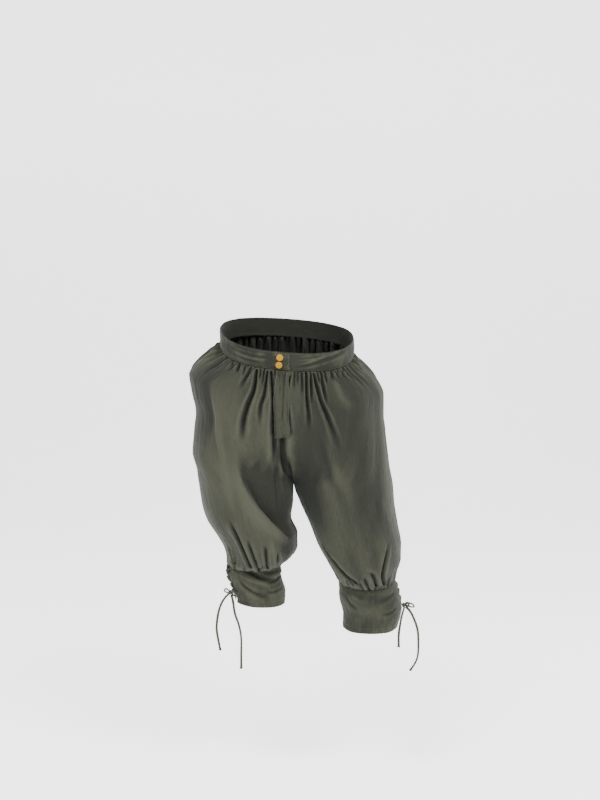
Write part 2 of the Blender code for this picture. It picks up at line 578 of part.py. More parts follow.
def build_pocket_bags():
    """A bag behind each side mouth: an outer leaf behind the front panel, sewn along its front edge
    to an inner leaf that comes back to the rear edge of the mouth."""
    rows = np.array([row for row in PANEL_ROWS if POCKET_TOP <= row <= POCKET_BAG_END])
    way, row = np.meshgrid(np.linspace(0.0, 1.0, POCKET_COLUMNS), rows)
    rounded = np.sin((1 - np.abs(2 * way - 1)) * math.pi / 2)
    narrow = 0.62 + 0.38 * smooth(POCKET_TOP, POCKET_TOP + 2.5, row)
    share = SIDE_SEAM - 0.004 - POCKET_REACH * narrow * rounded
    gape = POCKET_GAPE * pocket_mouth(row)
    least = 4 * SEAM_GAP
    full = np.maximum(POCKET_DEPTH * (1 - smooth(POCKET_BOTTOM, POCKET_BAG_END, row)), least)
    at_mouth = np.maximum(gape - POCKET_CLEARANCE - LINING, least)
    towards_mouth = smooth(0.62, 1.0, way)
    depth = smooth(0.40, 0.60, way) * ((1 - towards_mouth) * full + towards_mouth * at_mouth)
    # The outer leaf starts close under the mouth's front edge.
    close = smooth(0.0, 0.16, way)
    clear = (CLOTH + 3 * SEAM_GAP) * (1 - close) + POCKET_CLEARANCE * close
    for side in SIDES:
        normals = outward(side, share, row)
        inside = leg_form(side, share, row) - normals * (clear + LINING + depth)[..., None]
        away = grid_normals(inside)
        away *= np.sign((away[:, 1] * normals[:, 1]).sum())
        outside = inside + away * LINING
        leaves = {"outer": (slice(0, POCKET_FOLD + 1), -1), "inner": (slice(POCKET_FOLD, None), 0)}
        for leaf, (columns, sewn) in leaves.items():
            faces = (short_of_seam(grid[:, columns], sewn) for grid in (outside, inside))
            wall(f"pocket_bag_{side}_{leaf}", *faces, "cloth")


# ---- Cuffs, their loops and laces ------------------------------------------------------------
def cuff_form(side, round_share, down, out=0.0):
    """A point on a cuff: the way round as on the leg, down from 0 at the gathers to 1 at the hem,
    and out from its outer face."""
    table = np.array(CUFFS[side])
    columns = at_row(table, np.asarray(down) * (len(table) - 1))
    z, inner, outer, front, back, dip, lean = columns
    turn = (np.asarray(round_share) - 0.5) * 2 * math.pi
    middle = (front + back) / 2
    fuller = 1 + ROUNDNESS * np.cos(turn) ** 2
    x = (inner + outer) / 2 + (outer - inner) / 2 * np.cos(turn)
    y = middle + (back - front) / 2 * np.sin(turn) * fuller
    z = tilted(z, y, middle, dip, 0.0, x, inner, lean)
    beyond = out * SIDES[side] * np.cos(turn)
    return np.stack([x + beyond, y + out * np.sin(turn) * fuller, z], axis=-1)


def cuff_girth(side):
    """Length round a cuff, half way down."""
    shares = np.linspace(0, 1, 65)
    points = cuff_form(side, shares, np.full_like(shares, 0.5))
    return float(np.linalg.norm(np.diff(points, axis=0), axis=1).sum())


def build_cuffs():
    """Each cuff is one strip round the calf, open down its laced slit."""
    for side in SIDES:
        half_slit = SLIT_WIDTH / 2 / cuff_girth(side)
        start = SLIT_AT[side] + half_slit
        shares = np.linspace(start, start + 1 - 2 * half_slit, 29)
        downs = np.linspace(0.0, 1.0, 5)
        share, down = np.meshgrid(shares, downs)
        outside = cuff_form(side, share, down)
        wall(f"cuff_{side}", outside, cuff_form(side, share, down, -CUFF_CLOTH), "cloth")


def through(points, count):
    """A smooth curve through the points, read at even steps along its length."""
    points = np.asarray(points, float)
    ends = np.vstack([2 * points[0] - points[1], points, 2 * points[-1] - points[-2]])
    fine = []
    for k in range(1, len(ends) - 2):
        p0, p1, p2, p3 = ends[k - 1 : k + 3]
        for t in np.linspace(0, 1, 12, endpoint=False):
            fine.append(
                0.5 * ((2 * p1) + (p2 - p0) * t + (2 * p0 - 5 * p1 + 4 * p2 - p3) * t**2
                       + (3 * p1 - p0 - 3 * p2 + p3) * t**3)
            )
    fine.append(ends[-2])
    fine = np.array(fine)
    length = np.concatenate([[0.0], np.cumsum(np.linalg.norm(np.diff(fine, axis=0), axis=1))])
    places = np.linspace(0, length[-1], count)
    return np.stack([np.interp(places, length, fine[:, k]) for k in range(3)], axis=1)


def tube(name, points, radius, finish, resolution):
    """A round cord along a line of points, as a curve with a bevel and filled caps."""
    curve = bpy.data.curves.new(name, "CURVE")
    curve.dimensions = "3D"
    curve.bevel_depth = radius
    curve.bevel_resolution = resolution
    curve.use_fill_caps = True
    spline = curve.splines.new("POLY")
    spline.points.add(len(points) - 1)
    for point, place in zip(spline.points, points):
        point.co = (*(float(c) for c in place), 1.0)
    return add_piece(name, curve, finish)


def slit_point(side, across, down, out):
    """A point near a cuff's slit: across from its middle towards the back, in metres."""
    return cuff_form(side, SLIT_AT[side] + across / cuff_girth(side), down, out)


def loop_down(side, number):
    """How far down the slit a loop is."""
    return LOOP_FIRST + number * LOOP_STEP[side]


def build_loops():
    """On each edge of a slit, one cord laid in a row of loops that the lace goes through."""
    for side in SIDES:
        half = LOOP_STEP[side] / 2
        for edge, way in {"front": -1.0, "back": 1.0}.items():
            points = []
            for number in range(LOOPS_A_SIDE):
                for step, reach in ((-half, -0.35), (-half / 2, 0.62), (0.0, 1.0), (half / 2, 0.62)):
                    across = way * (SLIT_WIDTH / 2 - LOOP_REACH * reach)
                    down = loop_down(side, number) + step
                    points.append(slit_point(side, across, down, LOOP_LIFT))
            end = loop_down(side, LOOPS_A_SIDE - 1) + half
            across = way * (SLIT_WIDTH / 2 + 0.35 * LOOP_REACH)
            points.append(slit_point(side, across, end, LOOP_LIFT))
            line = through(points, 25)
            tube(f"loops_{side}_{edge}", line, LOOP_CORD_RADIUS, "lace", 1)


def lace_route(side):
    """The lace from the knot up one way through the loops, across the top, and down the other."""
    apex = SLIT_WIDTH / 2 - LOOP_REACH
    turn_radius = LOOP_CORD_RADIUS + LACE_RADIUS + LACE_CLEARANCE
    length = CUFFS[side][0].z - CUFFS[side][-1].z
    strands = []
    for first, lift in ((-1.0, 0.0018), (1.0, -0.0018)):
        strand = []
        for number in range(LOOPS_A_SIDE):
            way = first if number % 2 == 0 else -first
            for angle in (-90, -45, 0, 45, 90):
                side_step = turn_radius * math.cos(math.radians(angle))
                rise = turn_radius * math.sin(math.radians(angle))
                down = loop_down(side, number) + angle / 90 * 0.0016 / length
                strand.append(slit_point(side, way * (apex + side_step), down, LOOP_LIFT + rise))
            if number < LOOPS_A_SIDE - 1:
                between = loop_down(side, number + 0.5)
                strand.append(slit_point(side, 0.0, between, LOOP_LIFT + lift))
        strands.append(strand)
    return through(strands[0][::-1] + strands[1], LACE_POINTS)


def build_knot(side, centre):
    """The small round body where a lace is tied."""
    ball = bmesh.new()
    bmesh.ops.create_uvsphere(ball, u_segments=10, v_segments=6, radius=1.0)
    bmesh.ops.scale(ball, vec=KNOT_RADII, verts=ball.verts)
    mesh = bpy.data.meshes.new(f"knot_{side}")
    ball.to_mesh(mesh)
    ball.free()
    mesh.shade_smooth()
    knot = add_piece(f"knot_{side}", mesh, "lace")
    knot.location = centre


def build_laces():
    """The lace through the loops, its knot, its bow and its two free ends, on each knee."""
    for side in SIDES:
        tube(f"lace_{side}", lace_route(side), LACE_RADIUS, "lace", 1)
        knot = slit_point(side, KNOT_ACROSS[side], KNOT_DOWN[side], KNOT_OUT)
        build_knot(side, knot)
        for part in ("a", "b"):
            loop = through([knot + np.array(p) for p in BOW_ROUTES[side, part]], 16)
            tube(f"bow_{side}_{part}", loop, LACE_RADIUS, "lace", 1)
            route = TIE_ROUTES[side, part]
            tie = through([knot + np.array(p) for p in route], 22)
            tube(f"tie_{side}_{part}", tie, TIE_RADIUS, "lace", 2)


def main():
    for obj in list(bpy.data.objects):
        bpy.data.objects.remove(obj)
    garment = bpy.data.objects.new(GARMENT, None)
    bpy.context.scene.collection.objects.link(garment)
    build_waistband()
    build_panels()
    build_placket()
    build_buttons()
    build_pocket_bags()
    build_cuffs()
    build_loops()
    build_laces()


main()
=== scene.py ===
"""The finish of a pair of full knee breeches with laced cuffs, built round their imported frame.

Metres, +Z up. The front faces -Y and the wearer's left is +X. The origin is the middle of the
waist. Each class is one part of the garment or one finish; crease tables are in millimetres.
"""

import sys

import logging
import math
from collections.abc import Iterable, Sequence
from dataclasses import dataclass, field
from enum import Enum
from typing import Any, NamedTuple

import bpy
import numpy as np
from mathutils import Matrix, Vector

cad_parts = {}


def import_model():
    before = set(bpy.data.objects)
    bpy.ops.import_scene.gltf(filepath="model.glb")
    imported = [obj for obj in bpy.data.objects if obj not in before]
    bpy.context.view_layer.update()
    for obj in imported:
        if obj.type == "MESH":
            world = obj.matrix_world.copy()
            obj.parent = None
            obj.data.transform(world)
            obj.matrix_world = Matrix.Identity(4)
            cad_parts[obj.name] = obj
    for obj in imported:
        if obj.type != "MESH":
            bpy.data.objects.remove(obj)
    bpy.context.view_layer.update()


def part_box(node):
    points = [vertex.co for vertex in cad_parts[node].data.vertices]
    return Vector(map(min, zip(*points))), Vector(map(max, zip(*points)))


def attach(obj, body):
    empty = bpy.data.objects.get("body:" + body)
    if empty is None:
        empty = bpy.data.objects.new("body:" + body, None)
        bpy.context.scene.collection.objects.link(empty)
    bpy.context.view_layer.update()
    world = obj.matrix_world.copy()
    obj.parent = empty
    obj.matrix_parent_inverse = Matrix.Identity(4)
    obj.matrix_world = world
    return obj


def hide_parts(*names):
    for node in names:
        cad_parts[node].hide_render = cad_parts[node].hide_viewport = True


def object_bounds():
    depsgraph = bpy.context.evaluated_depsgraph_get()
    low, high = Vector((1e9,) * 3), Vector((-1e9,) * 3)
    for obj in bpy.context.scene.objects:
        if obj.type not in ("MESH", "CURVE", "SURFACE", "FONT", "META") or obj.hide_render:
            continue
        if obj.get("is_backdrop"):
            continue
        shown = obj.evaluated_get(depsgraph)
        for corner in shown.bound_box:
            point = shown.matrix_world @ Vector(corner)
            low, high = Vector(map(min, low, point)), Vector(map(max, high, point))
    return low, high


LOG = logging.getLogger("breeches")
Array = np.ndarray
MM = 0.001
BODY = "root"


class Side(Enum):
    """One half of the garment, as its wearer says it."""

    LEFT = "left"
    RIGHT = "right"

    @property
    def sign(self) -> float:
        """+1 for the half on the +X side, -1 for the other."""
        return 1.0 if self is Side.LEFT else -1.0


class Face(Enum):
    """The side of the garment that a crease is seen from."""

    FRONT = "front"
    BACK = "back"


class Slot(Enum):
    """The material slots."""

    CLOTH = "cloth"
    LACE = "lace"
    BUTTON = "button"


class Fold(Enum):
    """The kinds of crease."""

    VALLEY = "valley"
    RIDGE = "ridge"
    LAP = "lap"


# ---- Sums on arrays --------------------------------------------------------------------------
def smooth(low: float, high: float, x: Any) -> Any:
    """A smooth step, 0 below low and 1 above high.

    Args:
        low: where the step starts.
        high: where it ends.
        x: a number or an array.

    Returns:
        The step's value at x.
    """
    share = np.clip((x - low) / (high - low), 0.0, 1.0)
    return share * share * (3.0 - 2.0 * share)


def unit(vectors: Array) -> Array:
    """Vectors along the last axis, each brought to length one."""
    return vectors / np.maximum(np.linalg.norm(vectors, axis=-1, keepdims=True), 1e-12)


def through(points: Any, count: int) -> Array:
    """A smooth curve through the points, read at even steps along its length.

    Args:
        points: the points to go through, in any number of dimensions.
        count: how many points the curve is given.

    Returns:
        The curve's points, one in each row.
    """
    points = np.asarray(points, float)
    ends = np.vstack([2 * points[0] - points[1], points, 2 * points[-1] - points[-2]])
    t = np.linspace(0, 1, 12, endpoint=False)[:, None]
    fine = []
    for p0, p1, p2, p3 in zip(ends, ends[1:], ends[2:], ends[3:]):
        bend = (2 * p0 - 5 * p1 + 4 * p2 - p3) * t**2 + (3 * p1 - p0 - 3 * p2 + p3) * t**3
        fine.append(0.5 * (2 * p1 + (p2 - p0) * t + bend))
    fine = np.vstack([*fine, ends[-2:-1]])
    length = np.concatenate([[0.0], np.cumsum(np.linalg.norm(np.diff(fine, axis=0), axis=1))])
    places = np.linspace(0, length[-1], count)
    return np.stack([np.interp(places, length, axis) for axis in fine.T], axis=1)


def grid_normals(grid: Array) -> Array:
    """Unit normals of a grid of points, across its rows and columns."""
    return unit(np.cross(np.gradient(grid, axis=0), np.gradient(grid, axis=1)))


@dataclass(frozen=True)
class Hills:
    """Smooth random hills, the same on each run, that repeat after a whole number of cells."""

    seed: int
    across: int = 32
    down: int = 64

    def at(self, u: Array, v: Array) -> Array:
        """Height of the hills, about -1 to 1.

        Args:
            u: places across, in cells.
            v: places down, in cells.

        Returns:
            The heights at those places.
        """
        cells = np.random.default_rng(self.seed).uniform(-1, 1, (self.across, self.down))
        i, j = np.floor(u).astype(int), np.floor(v).astype(int)
        s, t = u - i, v - j
        s, t = s * s * s * (s * (6 * s - 15) + 10), t * t * t * (t * (6 * t - 15) + 10)

        def corner(a: int, b: int) -> Array:
            return cells[(i + a) % self.across, (j + b) % self.down]

        low = corner(0, 0) * (1 - s) + corner(1, 0) * s
        high = corner(0, 1) * (1 - s) + corner(1, 1) * s
        return (low * (1 - t) + high * t) * 1.6


# ---- Shader sums -----------------------------------------------------------------------------
class Value:
    """A number in a material's nodes, so that sums on it are written as Python expressions."""

    def __init__(self, shader: "Shader", socket: bpy.types.NodeSocket) -> None:
        """Wraps one output socket."""
        self.shader = shader
        self.socket = socket

    def sum(self, operation: str, *others: Any) -> "Value":
        """A Math node on this value and others."""
        values = dict(enumerate([self, *others]))
        return self.shader.node("ShaderNodeMath", {"operation": operation}, values).value()

    def __add__(self, other: Any) -> "Value":
        """This plus other."""
        return self.sum("ADD", other)

    def __sub__(self, other: Any) -> "Value":
        """This minus other."""
        return self.sum("SUBTRACT", other)

    def __rsub__(self, other: Any) -> "Value":
        """Other minus this."""
        flipped = self.sum("MULTIPLY", -1.0)
        return flipped.sum("ADD", other)

    def __mul__(self, other: Any) -> "Value":
        """This times other."""
        return self.sum("MULTIPLY", other)

    __radd__ = __add__
    __rmul__ = __mul__

    def __pow__(self, other: Any) -> "Value":
        """This to the power of other."""
        return self.sum("POWER", other)

    def clamped(self) -> "Value":
        """This, held between 0 and 1."""
        return self.sum("MAXIMUM", 0.0).sum("MINIMUM", 1.0)


class Made:
    """A node that was added, with short ways to its outputs."""

    def __init__(self, shader: "Shader", node: bpy.types.Node) -> None:
        """Keeps the node and the material's maker."""
        self.shader = shader
        self.node = node

    def value(self, name: Any = 0) -> Value:
        """A number output, for sums."""
        return Value(self.shader, self.node.outputs[name])

    def out(self, name: Any = 0) -> bpy.types.NodeSocket:
        """An output socket, to link."""
        return self.node.outputs[name]


class Shader:
    """Builds one node material round a Principled shader."""

    def __init__(self, name: str) -> None:
        """Starts an empty material of that name."""
        self.material = bpy.data.materials.new(name)
        self.material.use_nodes = True
        self.tree = self.material.node_tree
        self.principled = self.tree.nodes["Principled BSDF"]

    def node(
        self, kind: str, settings: dict[str, Any] | None = None, values: dict[Any, Any] | None = None
    ) -> Made:
        """Adds any node.

        Args:
            kind: the node's type.
            settings: its own settings, with a ramp's stops under "stops"; they are set first.
            values: what goes into its sockets, by name or number: a link or a constant.

        Returns:
            The node.
        """
        node = self.tree.nodes.new(kind)
        for name, setting in (settings or {}).items():
            if name == "stops":
                self._stops(node.color_ramp, setting)
            else:
                setattr(node, name, setting)
        for name, value in (values or {}).items():
            self.feed(node.inputs[name], value)
        return Made(self, node)

    @staticmethod
    def _stops(ramp: bpy.types.ColorRamp, stops: Sequence[tuple[float, Any]]) -> None:
        """Gives a colour ramp its stops, each a place and a colour."""
        while len(ramp.elements) < len(stops):
            ramp.elements.new(0.5)
        for element, (place, colour) in zip(ramp.elements, stops):
            element.position = place
            element.color = colour

    def feed(self, socket: bpy.types.NodeSocket, value: Any) -> None:
        """Links or sets one input socket."""
        if isinstance(value, Value):
            self.tree.links.new(value.socket, socket)
        elif isinstance(value, bpy.types.NodeSocket):
            self.tree.links.new(value, socket)
        elif socket.type == "RGBA" and len(value) == 3:
            socket.default_value = (*value, 1.0)
        else:
            socket.default_value = value

    def noise(
        self, vector: Any, scale: Sequence[float], detail: float = 3.0, rough: float = 0.55
    ) -> Value:
        """Noise with its own scale on each axis.

        Args:
            vector: where the noise is read.
            scale: cells in a metre along each axis.
            detail: how many finer layers it has.
            rough: how strong those are.

        Returns:
            The noise, about 0 to 1.
        """
        placed = self.node("ShaderNodeMapping", {}, {"Vector": vector, "Scale": tuple(scale)})
        values = {"Vector": placed.out(), "Scale": 1.0, "Detail": detail, "Roughness": rough}
        return self.node("ShaderNodeTexNoise", {}, values).value(0)

    def mix(self, factor: Any, first: Any, second: Any) -> bpy.types.NodeSocket:
        """A colour between two, by a factor."""
        made = self.node("ShaderNodeMix", {"data_type": "RGBA"}, {0: factor, 6: first, 7: second})
        return made.out(2)

    def bump(self, height: Value, strength: float, distance: float, below: Any = None) -> Any:
        """A Bump node on a height, over another one's normal if given."""
        values = {"Height": height, "Strength": strength, "Distance": distance}
        if below is not None:
            values["Normal"] = below
        return self.node("ShaderNodeBump", {}, values).out()

    def finish(self, **sockets: Any) -> bpy.types.Material:
        """Feeds the Principled shader's sockets, with _ for a space in their names."""
        for name, value in sockets.items():
            title = name.replace("_", " ").title().replace("Ior", "IOR")
            self.feed(self.principled.inputs[title], value)
        return self.material


@dataclass(frozen=True)
class ClothFinish:
    """Washed, crinkled cotton in a plain weave, dark olive green, with shade painted into its creases.
    """

    name: str
    colour: tuple[float, float, float] = (0.0240, 0.0256, 0.0158)
    # Painted shade: the colour of the creases' valleys, also used for real random darker patches.
    dark_patch_and_crease_shade: tuple[float, float, float] = (0.0085, 0.0092, 0.0060)
    worn: tuple[float, float, float] = (0.0380, 0.0405, 0.0270)
    threads: float = 900.0  # in a metre
    crinkle: float = 0.32

    def material(self) -> bpy.types.Material:
        """The cloth's material, on the piece's own map in metres and its Ridge attribute."""
        shader = Shader(self.name)
        cloth = shader.node("ShaderNodeUVMap", {"uv_map": "Cloth"}).out()
        ridge = shader.node("ShaderNodeAttribute", {"attribute_name": "Ridge"}).value("Fac")
        apart = shader.node("ShaderNodeSeparateXYZ", {}, {0: cloth})
        turn = 2 * math.pi * self.threads
        warp = (apart.value(0) * turn).sum("SINE")
        weft = (apart.value(1) * turn).sum("SINE")
        weave = warp * weft * 0.5 + 0.5
        slub = shader.noise(cloth, (700.0, 60.0, 1.0), 2.0)
        streaks = shader.noise(cloth, (520.0, 120.0, 1.0), 4.0, 0.62)
        broad = shader.noise(cloth, (170.0, 30.0, 1.0), 3.0, 0.5)
        patches = shader.noise(cloth, (14.0, 9.0, 1.0), 3.0)
        # Painted shade: where Ridge is low, in the creases' valleys and on the inner face, the cloth
        # takes its darker colour; the noise adds real random darker patches.
        depth = (streaks * 0.4 + broad * 0.2 + slub * 0.4 + patches * 0.3 + ridge * 1.5 - 0.85).clamped()
        tone = shader.mix(depth, self.dark_patch_and_crease_shade, self.colour)
        wear = (
            ridge * 0.85 + (streaks - 0.5) * 0.45 + (broad - 0.5) * 0.22 + (slub - 0.5) * 0.4 - 0.22
        ).clamped()
        colour = shader.mix(wear, tone, self.worn)
        wide = shader.bump(broad, self.crinkle, 0.0022)
        creased = shader.bump(streaks, self.crinkle, 0.0014, wide)
        fine = shader.bump(slub, 0.30, 0.0006, creased)
        woven = shader.bump(weave, 0.25, 0.0002, fine)
        return shader.finish(
            base_color=colour,
            roughness=(streaks * 0.10 + 0.80).clamped(),
            normal=woven,
            specular_ior_level=0.22,
            sheen_weight=0.05,
            sheen_roughness=0.45,
            sheen_tint=(0.72, 0.80, 0.78),
        )


@dataclass(frozen=True)
class LaceFinish:
    """Flat cotton tape with a herringbone weave, a shade darker than the cloth."""

    name: str
    colour: tuple[float, float, float] = (0.0240, 0.0275, 0.0195)
    light: tuple[float, float, float] = (0.0560, 0.0620, 0.0460)
    rows: float = 1100.0  # of thread in a metre

    def material(self) -> bpy.types.Material:
        """The tape's material, with slanted rows of thread along its own map."""
        shader = Shader(self.name)
        tape = shader.node("ShaderNodeUVMap", {"uv_map": "Cloth"}).out()
        apart = shader.node("ShaderNodeSeparateXYZ", {}, {0: tape})
        across, along = apart.value(0), apart.value(1)
        slant = (across.sum("ABSOLUTE") * 1.2 + along) * (2 * math.pi * self.rows)
        thread = slant.sum("SINE") * 0.5 + 0.5
        fuzz = shader.noise(tape, (900.0, 260.0, 1.0), 3.0)
        colour = shader.mix((thread * 0.45 + fuzz * 0.7 - 0.25).clamped(), self.colour, self.light)
        relief = shader.bump(thread, 0.5, 0.0004, shader.bump(fuzz, 0.3, 0.0004))
        return shader.finish(
            base_color=colour, roughness=0.86, normal=relief, specular_ior_level=0.2, sheen_weight=0.12
        )


@dataclass(frozen=True)
class BrassFinish:
    """Golden-yellow metal, satin, with fine turning marks and a little wear."""

    name: str
    colour: tuple[float, float, float] = (0.27, 0.135, 0.0006)
    dull: tuple[float, float, float] = (0.20, 0.094, 0.0005)

    def material(self) -> bpy.types.Material:
        """The metal's material, on Object coordinates."""
        shader = Shader(self.name)
        place = shader.node("ShaderNodeTexCoord").out("Object")
        cloudy = shader.noise(place, (220.0, 220.0, 220.0), 4.0)
        scratches = shader.noise(place, (2600.0, 300.0, 700.0), 3.0)
        colour = shader.mix((cloudy * 1.1 - 0.25).clamped(), self.colour, self.dull)
        relief = shader.bump(scratches, 0.12, 0.0003)
        return shader.finish(
            base_color=colour,
            roughness=(cloudy * 0.20 + scratches * 0.10 + 0.48).clamped(),
            normal=relief,
            specular_ior_level=0.25,
        )


@dataclass(frozen=True)
class ThreadFinish:
    """Twisted sewing thread, close to the cloth's colour."""

    name: str
    colour: tuple[float, float, float] = (0.034, 0.038, 0.027)
    light: tuple[float, float, float] = (0.062, 0.068, 0.050)

    def material(self) -> bpy.types.Material:
        """The thread's material, on Object coordinates."""
        shader = Shader(self.name)
        place = shader.node("ShaderNodeTexCoord").out("Object")
        twist = shader.noise(place, (1500.0, 1500.0, 1500.0), 2.0)
        colour = shader.mix(twist, self.colour, self.light)
        return shader.finish(base_color=colour, roughness=0.7, normal=shader.bump(twist, 0.3, 0.0003))


# ---- Meshes ----------------------------------------------------------------------------------
@dataclass
class Piece:
    """Everything that turns points and faces into one finished piece of the garment."""

    name: str
    slot: Slot
    stands_for: Sequence[str]

    def make(
        self,
        points: Array,
        faces: Sequence[Sequence[int]],
        material: bpy.types.Material,
        cloth_map: Array | None = None,
        ridge: Array | None = None,
        sharp: float = 1.2,
    ) -> bpy.types.Object:
        """Adds the mesh, ties it to its body and hides the CAD nodes that it stands for.

        Args:
            points: the vertices.
            faces: lists of vertex numbers, all facing the same way round the solid.
            material: its finish.
            cloth_map: a place on the flat cloth for each vertex, in metres.
            ridge: how far each vertex stands out, 0 to 1; the cloth's material paints shade where it is
                low.
            sharp: edges that turn by more than this stay sharp.

        Returns:
            The object.
        """
        mesh = bpy.data.meshes.new(self.name)
        mesh.from_pydata(np.asarray(points, float).tolist(), [], [list(f) for f in faces])
        if signed_volume(mesh) < 0:
            mesh.flip_normals()
        if cloth_map is not None:
            corners = np.zeros(len(mesh.loops), np.int32)
            mesh.loops.foreach_get("vertex_index", corners)
            layer = mesh.uv_layers.new(name="Cloth")
            layer.data.foreach_set("uv", np.asarray(cloth_map, np.float32)[corners].ravel())
        if ridge is not None:
            attribute = mesh.attributes.new("Ridge", "FLOAT", "POINT")
            attribute.data.foreach_set("value", np.asarray(ridge, np.float32).ravel())
        mesh.shade_smooth()
        mesh.set_sharp_from_angle(angle=sharp)
        mesh.materials.append(material)
        obj = bpy.data.objects.new(self.name, mesh)
        bpy.context.scene.collection.objects.link(obj)
        return self.tie(obj)

    def tie(self, obj: bpy.types.Object) -> bpy.types.Object:
        """Ties an object to its body and hides the CAD nodes that it stands for."""
        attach(obj, BODY)
        if self.stands_for:
            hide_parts(*self.stands_for)
        return obj


def signed_volume(mesh: bpy.types.Mesh) -> float:
    """Six times the volume that a closed mesh encloses, negative if its faces point inwards."""
    mesh.calc_loop_triangles()
    corners = np.zeros(len(mesh.loop_triangles) * 3, np.int32)
    mesh.loop_triangles.foreach_get("vertices", corners)
    points = np.zeros(len(mesh.vertices) * 3)
    mesh.vertices.foreach_get("co", points)
    a, b, c = points.reshape(-1, 3)[corners.reshape(-1, 3)].transpose(1, 0, 2)
    return float((a * np.cross(b, c)).sum())


def sheet_area(obj: bpy.types.Object) -> float:
    """Half of a thin closed shell's surface, which is the cloth's own area."""
    return sum(face.area for face in obj.data.polygons) / 2


@dataclass
class Shell:
    """A thin closed wall between an outside and an inside grid, with a rounded edge all round."""

    outside: Array
    inside: Array
    cloth_map: Array
    ridge: Array
    rounding: float = 0.45

    def _border(self, rows: int, columns: int) -> list[int]:
        """The numbers of the grid's edge points, once round."""
        border = [(0, j) for j in range(columns)]
        border += [(i, columns - 1) for i in range(1, rows)]
        border += [(rows - 1, j) for j in range(columns - 2, -1, -1)]
        border += [(i, 0) for i in range(rows - 2, 0, -1)]
        return [i * columns + j for i, j in border]

    def arrays(self) -> tuple[Array, list[list[int]], Array, Array]:
        """The wall's points, faces, flat places and relief."""
        rows, columns = self.outside.shape[:2]
        layer = rows * columns
        number = np.arange(layer).reshape(rows, columns)
        a, b = number[:-1, :-1].ravel(), number[1:, :-1].ravel()
        c, d = number[1:, 1:].ravel(), number[:-1, 1:].ravel()
        faces = np.stack([a, b, c, d], axis=1).tolist()
        faces += (np.stack([d, c, b, a], axis=1) + layer).tolist()
        rim = self._border(rows, columns)
        outer, inner = self.outside.reshape(-1, 3)[rim], self.inside.reshape(-1, 3)[rim]
        # The middle of the edge stands out a little, away from the sheet, so that it is round.
        away = self._away(outer + inner) * np.linalg.norm(outer - inner, axis=1)[:, None]
        middle = (outer + inner) / 2 + away * self.rounding
        start = 2 * layer
        for k, here in enumerate(rim):
            there, after = rim[(k + 1) % len(rim)], (k + 1) % len(rim)
            faces.append([there, start + after, start + k, here])
            faces.append([start + after, there + layer, here + layer, start + k])
        points = np.vstack([self.outside.reshape(-1, 3), self.inside.reshape(-1, 3), middle])
        flat, relief = self.cloth_map.reshape(-1, 2), self.ridge.ravel()
        flat = np.vstack([flat, flat, flat[rim]])
        # The inner face takes a Ridge of 0, so the cloth's material paints it with its crease shade in
        # full.
        relief = np.concatenate([relief, 0 * relief, relief[rim]])
        return points, faces, flat, relief

    def _away(self, edge: Array) -> Array:
        """Directions out of the sheet in its own surface, one at each point of its edge."""
        rows, columns = self.outside.shape[:2]
        rim = self._border(rows, columns)
        down, across = np.gradient(self.outside, axis=0), np.gradient(self.outside, axis=1)
        place = [(k // columns, k % columns) for k in rim]
        away = np.array([
            down[i, j] * ((i == rows - 1) * 1.0 - (i == 0) * 1.0)
            + across[i, j] * ((j == columns - 1) * 1.0 - (j == 0) * 1.0)
            for i, j in place
        ])
        return unit(away)


# ---- The form, the same as the CAD model's ----------------------------------------------------
class Section(NamedTuple):
    """One level of a leg: its edges, depths, seam, how closed it is, and how it slopes."""

    z: float
    inner: float
    outer: float
    front: float
    back: float
    seam: float
    merge: float
    dip: float
    rise: float
    lean: float


class Pelvis(NamedTuple):
    """One level above the fork, with the outer edge of each half."""

    z: float
    inner: float
    left: float
    right: float
    front: float
    back: float
    seam: float
    merge: float
    dip: float
    rise: float
    lean: float


SEAM_GAP = 0.0003
BAND_HEIGHT = 0.042
WAIST_SEAM = -BAND_HEIGHT / 2 - SEAM_GAP  # height of the panels' upper edge
PELVIS = (
    Pelvis(WAIST_SEAM, 0.000, 0.160, -0.160, -0.120, 0.118, 0.000, 0.00, 0.36, 0.20, -0.07),
    Pelvis(-0.035, 0.000, 0.175, -0.180, -0.128, 0.126, 0.000, 0.00, 0.33, 0.19, -0.07),
    Pelvis(-0.060, 0.000, 0.205, -0.215, -0.137, 0.137, 0.000, 0.00, 0.28, 0.17, -0.06),
    Pelvis(-0.085, 0.000, 0.220, -0.235, -0.144, 0.148, 0.000, 0.00, 0.22, 0.14, -0.04),
    Pelvis(-0.120, 0.000, 0.230, -0.230, -0.149, 0.158, 0.002, 0.01, 0.17, 0.10, -0.02),
    Pelvis(-0.165, 0.000, 0.230, -0.220, -0.152, 0.165, 0.004, 0.04, 0.12, 0.07, 0.00),
    Pelvis(-0.215, -0.005, 0.235, -0.225, -0.153, 0.167, 0.006, 0.13, 0.08, 0.04, 0.00),
    Pelvis(-0.265, 0.000, 0.240, -0.230, -0.153, 0.164, 0.008, 0.34, 0.05, 0.02, 0.00),
    Pelvis(-0.305, 0.010, 0.245, -0.220, -0.152, 0.160, 0.010, 0.68, 0.02, 0.01, 0.00),
    Pelvis(-0.335, 0.015, 0.250, -0.215, -0.151, 0.157, 0.012, 1.00, 0.00, 0.00, 0.00),
)
